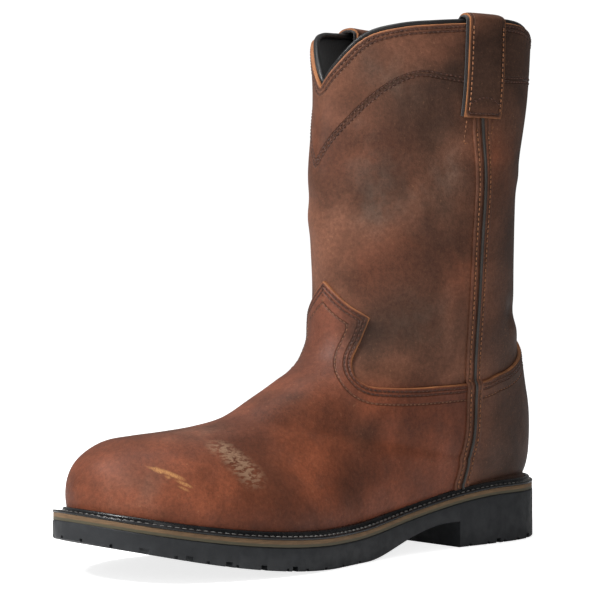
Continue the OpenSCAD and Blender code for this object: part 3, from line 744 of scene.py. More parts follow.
# ---------------------------------------------------------------- materials
class Shader:
    """Small helper that builds a node tree."""

    def __init__(self, name):
        self.material = bpy.data.materials.new(name)
        self.material.use_nodes = True
        self.tree = self.material.node_tree
        self.bsdf = self.tree.nodes["Principled BSDF"]
        coordinates = self.tree.nodes.new("ShaderNodeTexCoord")
        self.place = coordinates.outputs["Object"]

    def put(self, socket, value):
        if isinstance(value, bpy.types.NodeSocket):
            self.tree.links.new(value, socket)
        else:
            socket.default_value = value

    def set(self, **inputs):
        for name, value in inputs.items():
            self.put(self.bsdf.inputs[name.replace("_", " ")], value)

    def math(self, operation, a, b=0.0, c=0.0, clamp=False):
        node = self.tree.nodes.new("ShaderNodeMath")
        node.operation, node.use_clamp = operation, clamp
        for socket, value in zip(node.inputs, (a, b, c)):
            self.put(socket, value)
        return node.outputs[0]

    def vector(self, operation, a, b=(0, 0, 0), scale=1.0):
        node = self.tree.nodes.new("ShaderNodeVectorMath")
        node.operation = operation
        self.put(node.inputs[0], a)
        if operation == "SCALE":
            self.put(node.inputs[3], scale)
        else:
            self.put(node.inputs[1], b)
        return node.outputs["Value" if operation in ("DOT_PRODUCT", "LENGTH", "DISTANCE") else "Vector"]

    def noise(self, size_mm, detail=3.0, rough=0.55, place=None, warp=0.0):
        node = self.tree.nodes.new("ShaderNodeTexNoise")
        self.put(node.inputs["Vector"], place or self.place)
        node.inputs["Scale"].default_value = 1 / (size_mm * MM)
        node.inputs["Detail"].default_value = detail
        node.inputs["Roughness"].default_value = rough
        node.inputs["Distortion"].default_value = warp
        return node.outputs["Fac"]

    def cells(self, size_mm):
        node = self.tree.nodes.new("ShaderNodeTexVoronoi")
        self.put(node.inputs["Vector"], self.place)
        node.inputs["Scale"].default_value = 1 / (size_mm * MM)
        return node.outputs["Distance"]

    def span(self, value, low_in, high_in, low_out=0.0, high_out=1.0):
        node = self.tree.nodes.new("ShaderNodeMapRange")
        node.interpolation_type = "SMOOTHSTEP"
        for socket, v in zip(node.inputs, (value, low_in, high_in, low_out, high_out)):
            self.put(socket, v)
        return node.outputs[0]

    def blend(self, share, a, b):
        node = self.tree.nodes.new("ShaderNodeMix")
        node.data_type = "RGBA"
        self.put(node.inputs["Factor"], share)
        self.put(node.inputs[6], a)
        self.put(node.inputs[7], b)
        return node.outputs[2]

    def value(self, name):
        node = self.tree.nodes.new("ShaderNodeAttribute")
        node.attribute_name = name
        return node.outputs["Fac"]

    def bump(self, height, depth_mm, strength=1.0, normal=None):
        node = self.tree.nodes.new("ShaderNodeBump")
        node.inputs["Strength"].default_value = strength
        node.inputs["Distance"].default_value = depth_mm * MM
        self.put(node.inputs["Height"], height)
        if normal:
            self.put(node.inputs["Normal"], normal)
        return node.outputs["Normal"]


def rgb(red, green, blue):
    return (red, green, blue, 1)


# Scuffs on the toe and leg: start, end, half width in millimetres and strength
SCUFFS = [
    ((-1, -250.6, 59), (5, -250.4, 58), 0.9, 0.9),
    ((6, -249, 58), (15.5, -247.7, 56.5), 1.3, 0.9),
    ((12, -249.5, 57.5), (27, -240, 53.5), 1.1, 1.0),
    ((14, -249, 55.5), (30, -237.5, 50.5), 0.9, 0.9),
    ((24, -241, 54.5), (42, -226, 47.5), 1.2, 1.0),
    ((26, -240, 51.5), (41, -226.5, 45), 0.9, 0.9),
    ((30, -238, 48), (40, -229, 43.5), 0.7, 0.7),
    ((18, -247, 52.5), (25, -242.5, 48.5), 0.7, 0.8),
    ((9, -252, 55), (6, -253.5, 51), 0.8, 0.9),
    ((15.5, -251, 52), (13, -252.5, 48.5), 0.6, 0.8),
    ((24.2, -97.6, 144.4), (23.3, -98.6, 137), 0.55, 1.0),
    ((50, -60, 120), (49, -64, 108), 0.35, 0.4),
]
WORN_PATCH = ((27, -200, 62.5), (43, -195, 53), 9.0)


def leather(name, base, dark, red, rows=(2.0, 4.2), tan_edge=True):
    """Oiled pull-up leather: mottled colour, fine grain, scuffs and a raw tan edge, with painted sheen, painted shade
    towards the heel and painted shade along the stitch grooves.
    """
    s = Shader(name)
    large = s.noise(48, 2.5, 0.5, warp=0.5)
    medium = s.noise(16, 3, 0.55, warp=0.3)
    fine = s.noise(1.6, 3, 0.6)
    edge = s.value("edge")
    redness = s.math("MULTIPLY", medium, s.math("ADD", s.value("red"), 0.25))
    colour = s.blend(s.span(redness, 0.1, 0.55), base, red)
    # The leather's darker spots and the painted shade towards the heel, broken up by a large random cloud
    shade = s.math("ADD", s.value("dark"), s.math("MULTIPLY_ADD", large, 1.1, -0.62))
    colour = s.blend(s.math("MULTIPLY", s.span(shade, 0.0, 0.85), 0.9), colour, dark)
    # Painted sheen: a grey haze mixed into the colour where the oiled leather shines
    painted_sheen = s.math("MULTIPLY", s.value("painted_sheen"), s.span(medium, 0.35, 0.75, 0.15, 0.75))
    colour = s.blend(painted_sheen, colour, rgb(0.150, 0.118, 0.092))
    speck = s.span(fine, 0.60, 0.78, 0, 0.35)
    colour = s.blend(speck, colour, rgb(0.36, 0.17, 0.085))
    pit = s.span(s.noise(0.9, 2, 0.5), 0.30, 0.44, 0.25, 0)
    colour = s.blend(pit, colour, dark)
    cloud = s.span(s.noise(42, 3, 0.5, warp=0.8), 0.25, 0.75, 0.62, 1.42)
    rub = s.span(s.noise(2.2, 5, 0.7), 0.30, 0.70, 0.82, 1.20)
    colour = s.vector("SCALE", colour, scale=s.math("MULTIPLY", cloud, rub))
    for a, b, half, strength in SCUFFS:
        streak = s.noise(0.8, 3, 0.7, place=s.vector("MULTIPLY", s.place, (1, 2.4, 0.8)))
        share = s.math("MULTIPLY", scuff_mask(s, a, b, half), s.span(streak, 0.34, 0.52, 0, strength))
        colour = s.blend(share, colour, rgb(0.56, 0.27, 0.10))
    rubbed = s.noise(2.6, 4, 0.7, place=s.vector("MULTIPLY", s.place, (0.8, 0.5, 1.8)))
    worn = s.math("MULTIPLY", scuff_mask(s, *WORN_PATCH), s.span(rubbed, 0.44, 0.56, 0, 0.85))
    colour = s.blend(worn, colour, rgb(0.36, 0.22, 0.135))
    if tan_edge:
        raw = s.span(edge, 0.1, 0.85, 1, 0)
        raw = s.math("MULTIPLY", raw, s.span(medium, 0.3, 0.6, 0.5, 1.0))
        colour = s.blend(raw, colour, rgb(0.46, 0.185, 0.072))
    groove = stitch_groove(s, s.value("fancy"), 2.1)
    for at_row in rows:
        groove = s.math("ADD", groove, stitch_groove(s, edge, at_row))
    # Painted shade along the stitch grooves, which the bump below also sinks
    colour = s.blend(s.math("MULTIPLY", groove, 0.55, clamp=True), colour, dark)
    s.set(Base_Color=colour, Roughness=s.span(s.math("ADD", medium, s.value("painted_sheen")), 0.3, 1.2, 0.48, 0.70))
    s.set(Specular_IOR_Level=0.27)
    crumple = s.bump(s.noise(9, 5, 0.62, warp=0.8), 0.55, 0.35)
    pebble = s.bump(s.math("SUBTRACT", 1, s.cells(0.95)), 0.16, 0.5, crumple)
    normal = s.bump(s.noise(0.55, 2, 0.6), 0.10, 0.45, pebble)
    s.set(Normal=s.bump(s.math("MULTIPLY", groove, -1), 0.5, 0.8, normal))
    return s.material


def stitch_groove(s, edge, at):
    """1 along the row of stitches at that distance from the edge, falling to 0 beside it."""
    return s.span(s.math("ABSOLUTE", s.math("SUBTRACT", edge, at)), 0.2, 0.9, 1, 0)


def scuff_mask(s, a, b, half):
    """1 along a segment of the skin, fading out at its half width."""
    a, b = Vector(a) * MM, Vector(b) * MM
    ab = b - a
    from_a = s.vector("SUBTRACT", s.place, tuple(a))
    along = s.math("DIVIDE", s.vector("DOT_PRODUCT", from_a, tuple(ab)), ab.length_squared, clamp=True)
    foot = s.vector("SCALE", tuple(ab), scale=along)
    gap = s.vector("LENGTH", s.vector("SUBTRACT", from_a, foot))
    return s.span(gap, half * 0.35 * MM, half * 1.4 * MM, 1, 0)


def rubber(name, colour, gloss, size_mm=1.2):
    s = Shader(name)
    dust = s.span(s.noise(14, 5, 0.6), 0.45, 0.75, 0, 0.35)
    body = s.blend(dust, rgb(*colour), rgb(*(min(1, c * 1.9 + 0.02) for c in colour)))
    s.set(Base_Color=body, Roughness=s.span(s.noise(6, 4, 0.6), 0.3, 0.7, gloss - 0.08, gloss + 0.1))
    soft_corner = s.tree.nodes.new("ShaderNodeBevel")
    soft_corner.samples = 4
    soft_corner.inputs["Radius"].default_value = 0.6 * MM
    rough_face = s.bump(s.noise(size_mm, 4, 0.65), 0.12, 0.5, soft_corner.outputs[0])
    s.set(Normal=s.bump(s.noise(7, 3, 0.5), 0.25, 0.25, rough_face), Specular_IOR_Level=0.5)
    return s.material


def midsole_edge():
    """Tan leather edge, ground smooth in lengthwise layers, green-grey along its lower edge."""
    s = Shader("midsole_leather")
    band = s.value("band")
    layers = s.noise(0.5, 3, 0.6, place=s.vector("MULTIPLY", s.place, (0.06, 0.06, 1)))
    colour = s.blend(s.span(layers, 0.35, 0.7), rgb(0.165, 0.094, 0.044), rgb(0.25, 0.150, 0.072))
    colour = s.blend(s.span(s.noise(5, 4, 0.6), 0.45, 0.75, 0, 0.5), colour, rgb(0.12, 0.075, 0.04))
    colour = s.blend(s.span(band, 0.32, 0.52, 0.9, 0), colour, rgb(0.075, 0.07, 0.04))
    s.set(Base_Color=colour, Roughness=0.62, Normal=s.bump(layers, 0.2, 0.5))
    return s.material


TWIST = 0.8


def thread(name, colour, ends):
    """Twisted thread, with painted shade where each stitch dives into its hole."""
    s = Shader(name)
    twist = s.noise(TWIST, 2, 0.5)
    body = s.blend(s.span(twist, 0.35, 0.65), rgb(*(c * 0.65 for c in colour)), rgb(*colour))
    body = s.blend(s.span(s.noise(5, 2, 0.5), 0.4, 0.7, 0, 0.5), body, rgb(*ends))
    # Painted shade at each end of a stitch, where it dives into its hole
    colour = s.blend(s.value("end"), body, rgb(*ends))
    s.set(Base_Color=colour, Roughness=0.6, Normal=s.bump(twist, 0.12, 0.6))
    return s.material


def woven(name, colour, size_mm):
    """Close woven or knitted lining."""
    s = Shader(name)
    weave = s.cells(size_mm * 0.8)
    yarn = s.span(s.noise(size_mm, 3, 0.6), 0.35, 0.7)
    body = s.blend(yarn, rgb(*(c * 0.6 for c in colour)), rgb(*colour))
    s.set(Base_Color=body, Roughness=0.9, Sheen_Weight=0.3, Normal=s.bump(weave, 0.2, 0.6))
    return s.material


def plain_board(name, colour, size_mm, roughness=0.8):
    """Fibrous board, cork or foam."""
    s = Shader(name)
    grain = s.cells(size_mm)
    body = s.blend(s.span(grain, 0.1, 0.7), rgb(*colour), rgb(*(c * 0.6 for c in colour)))
    s.set(Base_Color=body, Roughness=roughness, Normal=s.bump(grain, 0.3, 0.5))
    return s.material


def brushed_steel():
    s = Shader("steel")
    lines = s.noise(0.4, 4, 0.6, place=s.vector("MULTIPLY", s.place, (1, 0.04, 1)))
    s.set(Base_Color=rgb(0.55, 0.56, 0.58), Metallic=1.0, Roughness=s.span(lines, 0.3, 0.7, 0.28, 0.5))
    s.set(Normal=s.bump(lines, 0.05, 0.4))
    return s.material


BASE, DARK, RED = rgb(0.165, 0.066, 0.037), rgb(0.050, 0.025, 0.016), rgb(0.215, 0.068, 0.033)
FOOT_BASE, FOOT_RED = rgb(0.172, 0.055, 0.030), rgb(0.235, 0.066, 0.030)
looks = {
    "foot_leather": leather("foot_leather", FOOT_BASE, DARK, FOOT_RED, (2.0, 4.2, 9.0)),
    "heel_leather": leather("heel_leather", BASE, DARK, RED, (2.0, 4.2, 9.0)),
    "shaft_leather": leather("shaft_leather", BASE, DARK, RED),
    "strap_leather": leather("strap_leather", BASE, DARK, RED, (2.1,)),
    "outsole_rubber": rubber("outsole_rubber", (0.016, 0.018, 0.021), 0.55),
    "welt_rubber": rubber("welt_rubber", (0.006, 0.006, 0.007), 0.26),
    "rim_rubber": rubber("rim_rubber", (0.02, 0.02, 0.022), 0.6),
    "binding": rubber("binding", (0.010, 0.009, 0.009), 0.38, 0.8),
    "piping": rubber("piping", (0.040, 0.034, 0.030), 0.40, 0.6),
    "midsole_leather": midsole_edge(),
    "welt_thread": thread("welt_thread", (0.34, 0.33, 0.31), (0.01, 0.01, 0.01)),
    "lining": woven("lining", (0.016, 0.014, 0.014), 1.2),
    "strap_backing": woven("strap_backing", (0.055, 0.050, 0.050), 0.8),
    "interlining": woven("interlining", (0.55, 0.50, 0.40), 0.9),
    "insole_board": plain_board("insole_board", (0.42, 0.30, 0.18), 0.8),
    "counter_board": plain_board("counter_board", (0.36, 0.28, 0.18), 0.9),
    "cork": plain_board("cork", (0.40, 0.24, 0.12), 2.2),
    "footbed_foam": plain_board("footbed_foam", (0.03, 0.03, 0.033), 1.1, 0.9),
    "steel": brushed_steel(),
}
SHAFT_THREAD = thread("shaft_thread", (0.125, 0.044, 0.024), (0.016, 0.007, 0.005))
DULL_THREAD = thread("dull_thread", (0.30, 0.125, 0.060), (0.05, 0.02, 0.012))
RUST_THREAD = thread("rust_thread", (0.46, 0.185, 0.075), (0.06, 0.022, 0.012))


def dress(piece, slot, material=None):
    piece.data.materials.clear()
    piece.data.materials.append(material or looks[slot])
    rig.slot(piece, slot)
    return piece


# ---------------------------------------------------------------- riding on the bodies
def at(x, y, z):
    return (x * MM, y * MM, z * MM)


lean_z = frame["joints"][1]["pos_m"][2] / MM
FLEX_REACH = 24


def bends_at_ball(piece):
    start, end = at(0, flex_y + FLEX_REACH, 20), at(0, flex_y - FLEX_REACH, 20)
    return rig.blend(piece, "rear", "forefoot", start, end)


def leans(piece):
    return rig.blend(piece, "rear", "shaft", at(0, -40, lean_z + 1), at(0, -40, lean_z + 48))


# ---------------------------------------------------------------- leather panels and linings
PANEL, SHAFT, LINING = 2.0, 1.95, 1.25
GAP = 0.05


def rounded(edge, thickness, radius):
    """Height over the underside near a cut edge: the corner is rounded off."""
    f = np.clip(edge / radius, 0, 1)
    return thickness * (0.62 + 0.38 * np.sqrt(1 - (1 - f) ** 2))


def panel(name, mesh, edge, inner, thickness, slot, hidden=None, **extra):
    """Leather panel where edge > 0; hidden limits it where another piece covers its border."""
    sheet = Sheet(mesh, edge=edge, hidden=np.full(len(edge), 99.0) if hidden is None else hidden, **extra)
    if hidden is not None:
        sheet.cut("hidden", 0)
    sheet.cut("edge", 0)
    for level in (0.3, 0.9):
        sheet.cut("edge", level, keep_low=True)
    sheet.tidy()
    outer = inner + rounded(sheet.values["edge"], thickness, 0.9)
    return dress(shell(name, sheet, outer, inner), slot)


seam_side = before_seam(skin)
vamp_in = below_edge(vamp_edge, skin)
counter_in = below_edge(counter_edge, skin)
under_collar = below_collar(skin)
UNDERLAP = 14
fancy = deco.distance(skin) + 1

vamp = panel("vamp", skin, vamp_in, GAP, PANEL - GAP, "foot_leather", seam_side - GAP)
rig.replaces(bends_at_ball(vamp), "vamp")
counter = panel("counter_cover", skin, counter_in, GAP, PANEL - GAP, "heel_leather", -seam_side - GAP)
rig.replaces(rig.ride(counter, "rear"), "counter_cover")
front = panel("shaft_front", skin, under_collar, -SHAFT, SHAFT - GAP, "shaft_leather",
              np.minimum(seam_side - GAP, UNDERLAP - vamp_in), fancy=fancy)
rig.replaces(leans(front), "shaft_front")
back = panel("shaft_back", skin, under_collar, -SHAFT, SHAFT - GAP, "shaft_leather",
             np.minimum(-seam_side - GAP, UNDERLAP - counter_in), fancy=fancy)
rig.replaces(leans(back), "shaft_back")

lining_split = 92 + 4 * ramp(-coarse.points[:, 1], 60, 160) - coarse.points[:, 2]
collar_coarse = below_collar(coarse)
lining_top = -SHAFT - 2 * GAP
lining = Sheet(coarse, edge=collar_coarse, hidden=-lining_split).cut("edge", -1.5).cut("hidden", 0)
lining = dress(shell("shaft_lining", lining, lining_top, lining_top - LINING), "lining")
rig.replaces(leans(lining), "shaft_lining")
foot_lining = Sheet(coarse, edge=collar_coarse, hidden=lining_split - 2 * GAP).cut("hidden", 0)
foot_lining = dress(shell("vamp_lining", foot_lining, lining_top, lining_top - LINING), "lining")
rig.replaces(bends_at_ball(foot_lining), "vamp_lining")

# Hidden middle layer: interlining over the instep, stiffener round the heel
cap_back = low("toe_cap_rim")[1] + 8.1
counter_front = low("heel_counter")[1]
coarse_vamp, coarse_counter = below_edge(vamp_edge, coarse), below_edge(counter_edge, coarse)
y_coarse = coarse.points[:, 1]
tucked = UNDERLAP + 0.6
inter = np.minimum.reduce([y_coarse - cap_back - 0.4, counter_front - 0.2 - y_coarse, coarse_vamp - tucked])
inter = Sheet(coarse, edge=inter).cut("edge", 0)
inter = dress(shell("vamp_interlining", inter, -GAP, -SHAFT), "interlining")
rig.replaces(bends_at_ball(inter), "vamp_interlining")
stiff = np.where(y_coarse > -38, coarse_counter, coarse_vamp) - tucked
stiff = np.minimum(y_coarse - counter_front, stiff)
stiff = Sheet(coarse, edge=stiff).cut("edge", 0)
stiff = dress(shell("heel_counter", stiff, -GAP, -SHAFT), "counter_board")
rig.replaces(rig.ride(stiff, "rear"), "heel_counter")


# ---------------------------------------------------------------- side strips and piping
STRIP_HALF, STRIP_THICK = 5.8, 1.2
looks["strip"] = leather("strip_leather", BASE, DARK, RED, (2.2, 4.7), tan_edge=False)
seam_distance = seam.distance(skin)
panel_top = np.maximum(np.where(seam_side > 0, vamp_in, counter_in), -6)


def strip_lift(cover):
    """The strip lies on the shaft and steps up where it crosses onto the vamp and counter."""
    return GAP + (PANEL - GAP) * ramp(cover, -2.2, 1.2)


def side_strip(side, name):
    mine = (skin.side == side) | (np.abs(skin.points[:, 0]) < 1)
    edge = np.where(mine, STRIP_HALF - seam_distance, -5)
    sheet = Sheet(skin, edge=edge, cover=panel_top, hidden=under_collar - 0.3)
    sheet.cut("edge", 0).cut("hidden", 0).cut("edge", 0.3, keep_low=True).cut("edge", 0.9, keep_low=True)
    sheet.cut("cover", -2, keep_low=True).cut("cover", 1, keep_low=True).tidy()
    lift = strip_lift(sheet.values["cover"])
    piece = shell(name, sheet, lift + rounded(sheet.values["edge"], STRIP_THICK, 0.9), lift)
    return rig.replaces(leans(dress(piece, "shaft_leather", looks["strip"])), name)


def tube(name, centre, normals, radius, height=None, sides=10, closed=False):
    """Round bead along a line of points; normals give its upright direction."""
    height = height or radius
    ahead = np.roll(centre, -1, 0) - np.roll(centre, 1, 0)
    if not closed:
        ahead[0], ahead[-1] = centre[1] - centre[0], centre[-1] - centre[-2]
    ahead /= np.linalg.norm(ahead, axis=1, keepdims=True)
    beside = np.cross(ahead, normals)
    beside /= np.linalg.norm(beside, axis=1, keepdims=True)
    up = np.cross(beside, ahead)
    a = np.linspace(0, 2 * math.pi, sides, endpoint=False)
    aside, upward = (np.cos(a) * radius)[:, None], (np.sin(a) * height)[:, None]
    ring = centre[:, None] + beside[:, None] * aside + up[:, None] * upward
    n = len(centre)
    index = np.arange(n * sides).reshape(n, sides)
    after, over = np.roll(index, -1, 0), np.roll(index, -1, 1)
    both = np.roll(after, -1, 1)
    quads = np.stack([index, over, both, after], -1)
    faces = (quads if closed else quads[:-1]).reshape(-1, 4).tolist()
    if not closed:
        faces += [index[0, ::-1].tolist(), index[-1].tolist()]
    return build(name, ring.reshape(-1, 3), faces)


def even_steps(line, step, *others):
    """The line and any arrays beside it, sampled at even steps along its length."""
    run = np.concatenate([[0], np.cumsum(np.linalg.norm(np.diff(line, axis=0), axis=1))])
    at_run = np.linspace(0, run[-1], max(2, int(round(run[-1] / step)) + 1))

    def evened(v):
        return np.stack([np.interp(at_run, run, v[:, k]) for k in range(v.shape[1])], -1)

    return [evened(v) for v in (line, *others)]


def on_skin(places, side, height):
    points, normals = sample(skin.points, side, places), sample(skin.normals, side, places)
    normals /= np.linalg.norm(normals, axis=1, keepdims=True)
    return points + normals * np.broadcast_to(height, len(points))[:, None], normals


PIPING = 0.85
for side, end in ((LATERAL, "lateral"), (MEDIAL, "medial")):
    side_strip(side, "side_strip_" + end)
    places = seam.places[side]
    cover = sample(panel_top[:, None], side, places)[:, 0]
    line, normals = on_skin(places, side, strip_lift(cover) + STRIP_THICK + 0.45 * PIPING)
    keep = (line[:, 2] < collar - 2) & (line[:, 2] > feather_z(line[:, 1]) + 0.6)
    line, normals = even_steps(line[keep], 1.5, normals[keep])
    piping = dress(tube("side_piping_" + end, line, normals, PIPING, sides=10), "piping")
    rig.replaces(leans(piping), "side_piping_" + end)


# ---------------------------------------------------------------- stitching
def thread_run(lines, pitch, length, radius):
    """Points, faces and end values (painted shade where each stitch dives into its hole) of the stitches along some
    (points, normals) lines.
    """
    points, faces, ends = [], [], []
    sides = 6
    along = np.array([-0.5, -0.46, -0.30, 0, 0.30, 0.46, 0.5])
    lift = np.array([-1.4, -0.7, 0.15, 0.35, 0.15, -0.7, -1.4])
    girth = np.array([0.5, 0.85, 1, 1, 1, 0.85, 0.5])
    a = np.linspace(0, 2 * math.pi, sides, endpoint=False)
    for line, normals in lines:
        line, normals = even_steps(line, pitch, normals)
        middle = (line[1:] + line[:-1]) / 2
        ahead = line[1:] - line[:-1]
        ahead /= np.maximum(np.linalg.norm(ahead, axis=1, keepdims=True), 1e-6)
        up = normals[1:] + normals[:-1]
        up /= np.linalg.norm(up, axis=1, keepdims=True)
        beside = np.cross(ahead, up)
        for m, t, n, b in zip(middle, ahead, up, beside):
            start = len(points) * len(along) * sides
            centre = m + along[:, None] * length * t + lift[:, None] * radius * n
            ring = np.cos(a)[None, :, None] * b + np.sin(a)[None, :, None] * n
            points.append((centre[:, None] + ring * (girth * radius)[:, None, None]).reshape(-1, 3))
            for i in range(len(along) - 1):
                for j in range(sides):
                    k, o = start + i * sides, (j + 1) % sides
                    faces.append((k + j, k + o, k + sides + o, k + sides + j))
            faces.append(tuple(start + j for j in reversed(range(sides))))
            faces.append(tuple(start + (len(along) - 1) * sides + j for j in range(sides)))
            ends.append(np.repeat(np.clip((np.abs(along) - 0.34) / 0.14, 0, 1), sides))
    return np.concatenate(points), faces, np.concatenate(ends)


def stitching(name, lines, material, pitch=2.7, length=2.15, radius=0.42):
    points, faces, ends = thread_run(lines, pitch, length, radius)
    return dress(build(name, points, faces, end=ends), "welt_thread", material)


def beside_line(line, side, shift, height, start=0.0, stop=1.0):
    """Points and normals of a row of stitches at a distance beside a line on the skin."""
    n = len(line.places[side])
    places = line.places[side][int(n * start) : int(n * stop)]
    points, normals = on_skin(places, side, 0)
    points, normals = even_steps(points, 1.6, normals)
    ahead = np.gradient(points, axis=0)
    across = np.cross(ahead, normals)
    across /= np.maximum(np.linalg.norm(across, axis=1, keepdims=True), 1e-9)
    moved = points + across * shift * side
    kept = distance_to(moved, line.points[side]) > abs(shift) - 0.12
    moved = moved[kept]
    found = locate(moved * (side, 1, 1), side)
    return on_skin(found, side, height)


def both_sides(line, shift, height, **limits):
    return [beside_line(line, side, shift, height, **limits) for side in (LATERAL, MEDIAL)]


PANEL_FACE, SHAFT_FACE = PANEL - 0.18, -GAP - 0.12
FIRST_ROW, SECOND_ROW, THIRD_ROW = 1.9, 4.1, 9.0


def double_row(line, height, first=FIRST_ROW, second=SECOND_ROW, **limits):
    return both_sides(line, first, height, **limits) + both_sides(line, second, height, **limits)


vamp_rows = double_row(vamp_edge, PANEL_FACE, stop=0.985)
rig.ride(stitching("vamp_stitching", vamp_rows, SHAFT_THREAD), "rear")
vamp_third = both_sides(vamp_edge, THIRD_ROW, PANEL_FACE, stop=0.98)
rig.ride(stitching("vamp_inner_stitching", vamp_third, DULL_THREAD, radius=0.34), "rear")
counter_rows = double_row(counter_edge, PANEL_FACE, start=0.10)
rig.ride(stitching("counter_stitching", counter_rows, SHAFT_THREAD), "rear")
counter_third = both_sides(counter_edge, THIRD_ROW, PANEL_FACE, start=0.12)
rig.ride(stitching("counter_inner_stitching", counter_third, DULL_THREAD, radius=0.34), "rear")
collar_rows = double_row(collar_line, SHAFT_FACE, 2.0, 4.2)
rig.ride(stitching("collar_stitching", collar_rows, SHAFT_THREAD), "shaft")
deco_rows = double_row(deco, SHAFT_FACE, 1.1, -1.1)
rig.ride(stitching("shaft_fancy_stitching", deco_rows, SHAFT_THREAD), "shaft")


def strip_row(side, shift):
    points, normals = beside_line(seam, side, shift, 0, start=0.12)
    cover = np.interp(points[:, 2], [84, 92], [3, -3])
    points = points + normals * (strip_lift(cover) + STRIP_THICK + 0.05)[:, None]
    keep = (points[:, 2] < collar - 58) & (points[:, 2] > feather_z(points[:, 1]) + 2.5)
    return points[keep], normals[keep]


strip_rows = [strip_row(side, shift) for side in (LATERAL, MEDIAL) for shift in (3.6, -3.6)]
leans(stitching("side_strip_stitching", strip_rows, RUST_THREAD, radius=0.34))

# ---------------------------------------------------------------- collar binding
around = {side: on_skin(collar_line.places[side], side, -3.55) for side in (LATERAL, MEDIAL)}
loop = np.concatenate([around[LATERAL][0], around[MEDIAL][0][-2:0:-1]])
loop_normals = np.concatenate([around[LATERAL][1], around[MEDIAL][1][-2:0:-1]])
loop, loop_normals = even_steps(loop, 1.8, loop_normals)
loop[:, 2] += 0.75
binding = tube("collar_binding", loop[:-1], loop_normals[:-1], 1.75, height=1.65, sides=14, closed=True)
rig.replaces(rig.ride(dress(binding, "binding"), "shaft"), "collar_binding")

# ---------------------------------------------------------------- pull straps
STRAP_COLUMN = 0.535 * LAST_COLUMN
strap_low = low("pull_strap_lateral")[2]
backing_low = low("strap_backing_lateral")[2]
strap_tail, backing_tail = collar - 48, collar - 44
STRAP_WIDTH, BACKING_WIDTH = 23.0, 25.4
STRAP_THICK, BACKING_THICK = 1.8, 1.4
HOOK = -3.9
# Open box of stitches under each strap: half width, inner ends and height
TACK_HALF, TACK_IN, TACK_TALL = 8.6, 6.4, 14


def leg_spot(side, z, column):
    """Skin point and normal of the leg at a height and column."""
    j = int(column)
    line = mix(halves[side][:200, j, 2], halves[side][:200, j + 1, 2], column - j)
    row = np.interp(-z, -line, np.arange(200))
    place = np.array([[row, column]])
    n = sample(skin.normals, side, place)[0]
    return sample(skin.points, side, place)[0], n / np.linalg.norm(n)


def strap_spot(side, z, out, across):
    """Point over the strap's centre line: height, distance from the skin and place across."""
    top = collar - 1.2
    a = leg_spot(side, min(z, top), STRAP_COLUMN - 1)[0]
    b = leg_spot(side, min(z, top), STRAP_COLUMN + 1)[0]
    column = STRAP_COLUMN + across / (np.linalg.norm(b - a) / 2)
    point, normal = leg_spot(side, min(z, top), column)
    point = point + normal * out
    point[2] += z - min(z, top)
    return point, normal


def strap_path(out, foot, tail):
    """(distance from the skin, height, turn) from the outer foot over the collar to the tail."""
    radius = out - HOOK
    top = collar - 0.6
    outer = [(out, z, 0.0) for z in np.linspace(foot, top - 2, 18)]
    over = [(HOOK + radius * math.cos(a), top + 0.62 * radius * math.sin(a), a)
            for a in np.linspace(0, math.pi, 17)]
    inner = [(HOOK - radius, z, math.pi) for z in np.linspace(top - 2, tail, 12)]
    return outer + over + inner


def strap_ply(name, side, out, thickness, width, foot, tail):
    across = width * (np.linspace(-1, 1, 17) * 0.5)
    squeeze = 1 - 0.45 * np.abs(across / (width / 2)) ** 10
    top, bottom = [], []
    for distance, z, turn in strap_path(out, foot, tail):
        for c, h in zip(across, squeeze * thickness / 2):
            for sign, rows in ((1, top), (-1, bottom)):
                spot_z, spot_out = z + sign * h * math.sin(turn), distance + sign * h * math.cos(turn)
                rows.append(strap_spot(side, spot_z, spot_out, c)[0])
    n, m = len(top) // len(across), len(across)
    index = np.arange(n * m).reshape(n, m)
    quads = np.stack([index[:-1, :-1], index[1:, :-1], index[1:, 1:], index[:-1, 1:]], -1).reshape(-1, 4)
    flip = side < 0
    faces = [list(q if flip else q[::-1]) for q in quads.tolist()]
    faces += [[v + n * m for v in (q[::-1] if flip else q)] for q in quads.tolist()]
    border = list(index[0, :]) + list(index[1:, -1]) + list(index[-1, -2::-1]) + list(index[-2:0:-1, 0])
    for a, b in zip(border, border[1:] + border[:1]):
        face = [int(a), int(b), int(b) + n * m, int(a) + n * m]
        faces.append(face[::-1] if flip else face)
    edge = np.tile(np.minimum(np.tile(width / 2 - np.abs(across), n), 99), 2)
    heights = np.array(top + bottom)[:, 2]
    foot_edge = np.where(np.array(top + bottom)[:, 0] * side > 30, heights - foot, 99)
    values = paint(np.array(top + bottom))
    return build(name, np.array(top + bottom), faces, edge=np.minimum(edge, foot_edge) + 0.2, **values)


def lifts(piece, end):
    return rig.blend(piece, "shaft", "strap_" + end, at(0, 0, collar - 50), at(0, 0, collar - 6))


def strap_thread(side, out, across_start, across_stop, z_start, z_stop, bow=0.0):
    """Row of stitches over the strap between two places; bow arches it upwards."""
    points, normals = [], []
    for f in np.linspace(0, 1, 24):
        z = mix(z_start, z_stop, f) + bow * math.sin(math.pi * f)
        point, normal = strap_spot(side, z, out, mix(across_start, across_stop, f))
        points.append(point)
        normals.append(normal)
    return np.array(points), np.array(normals)


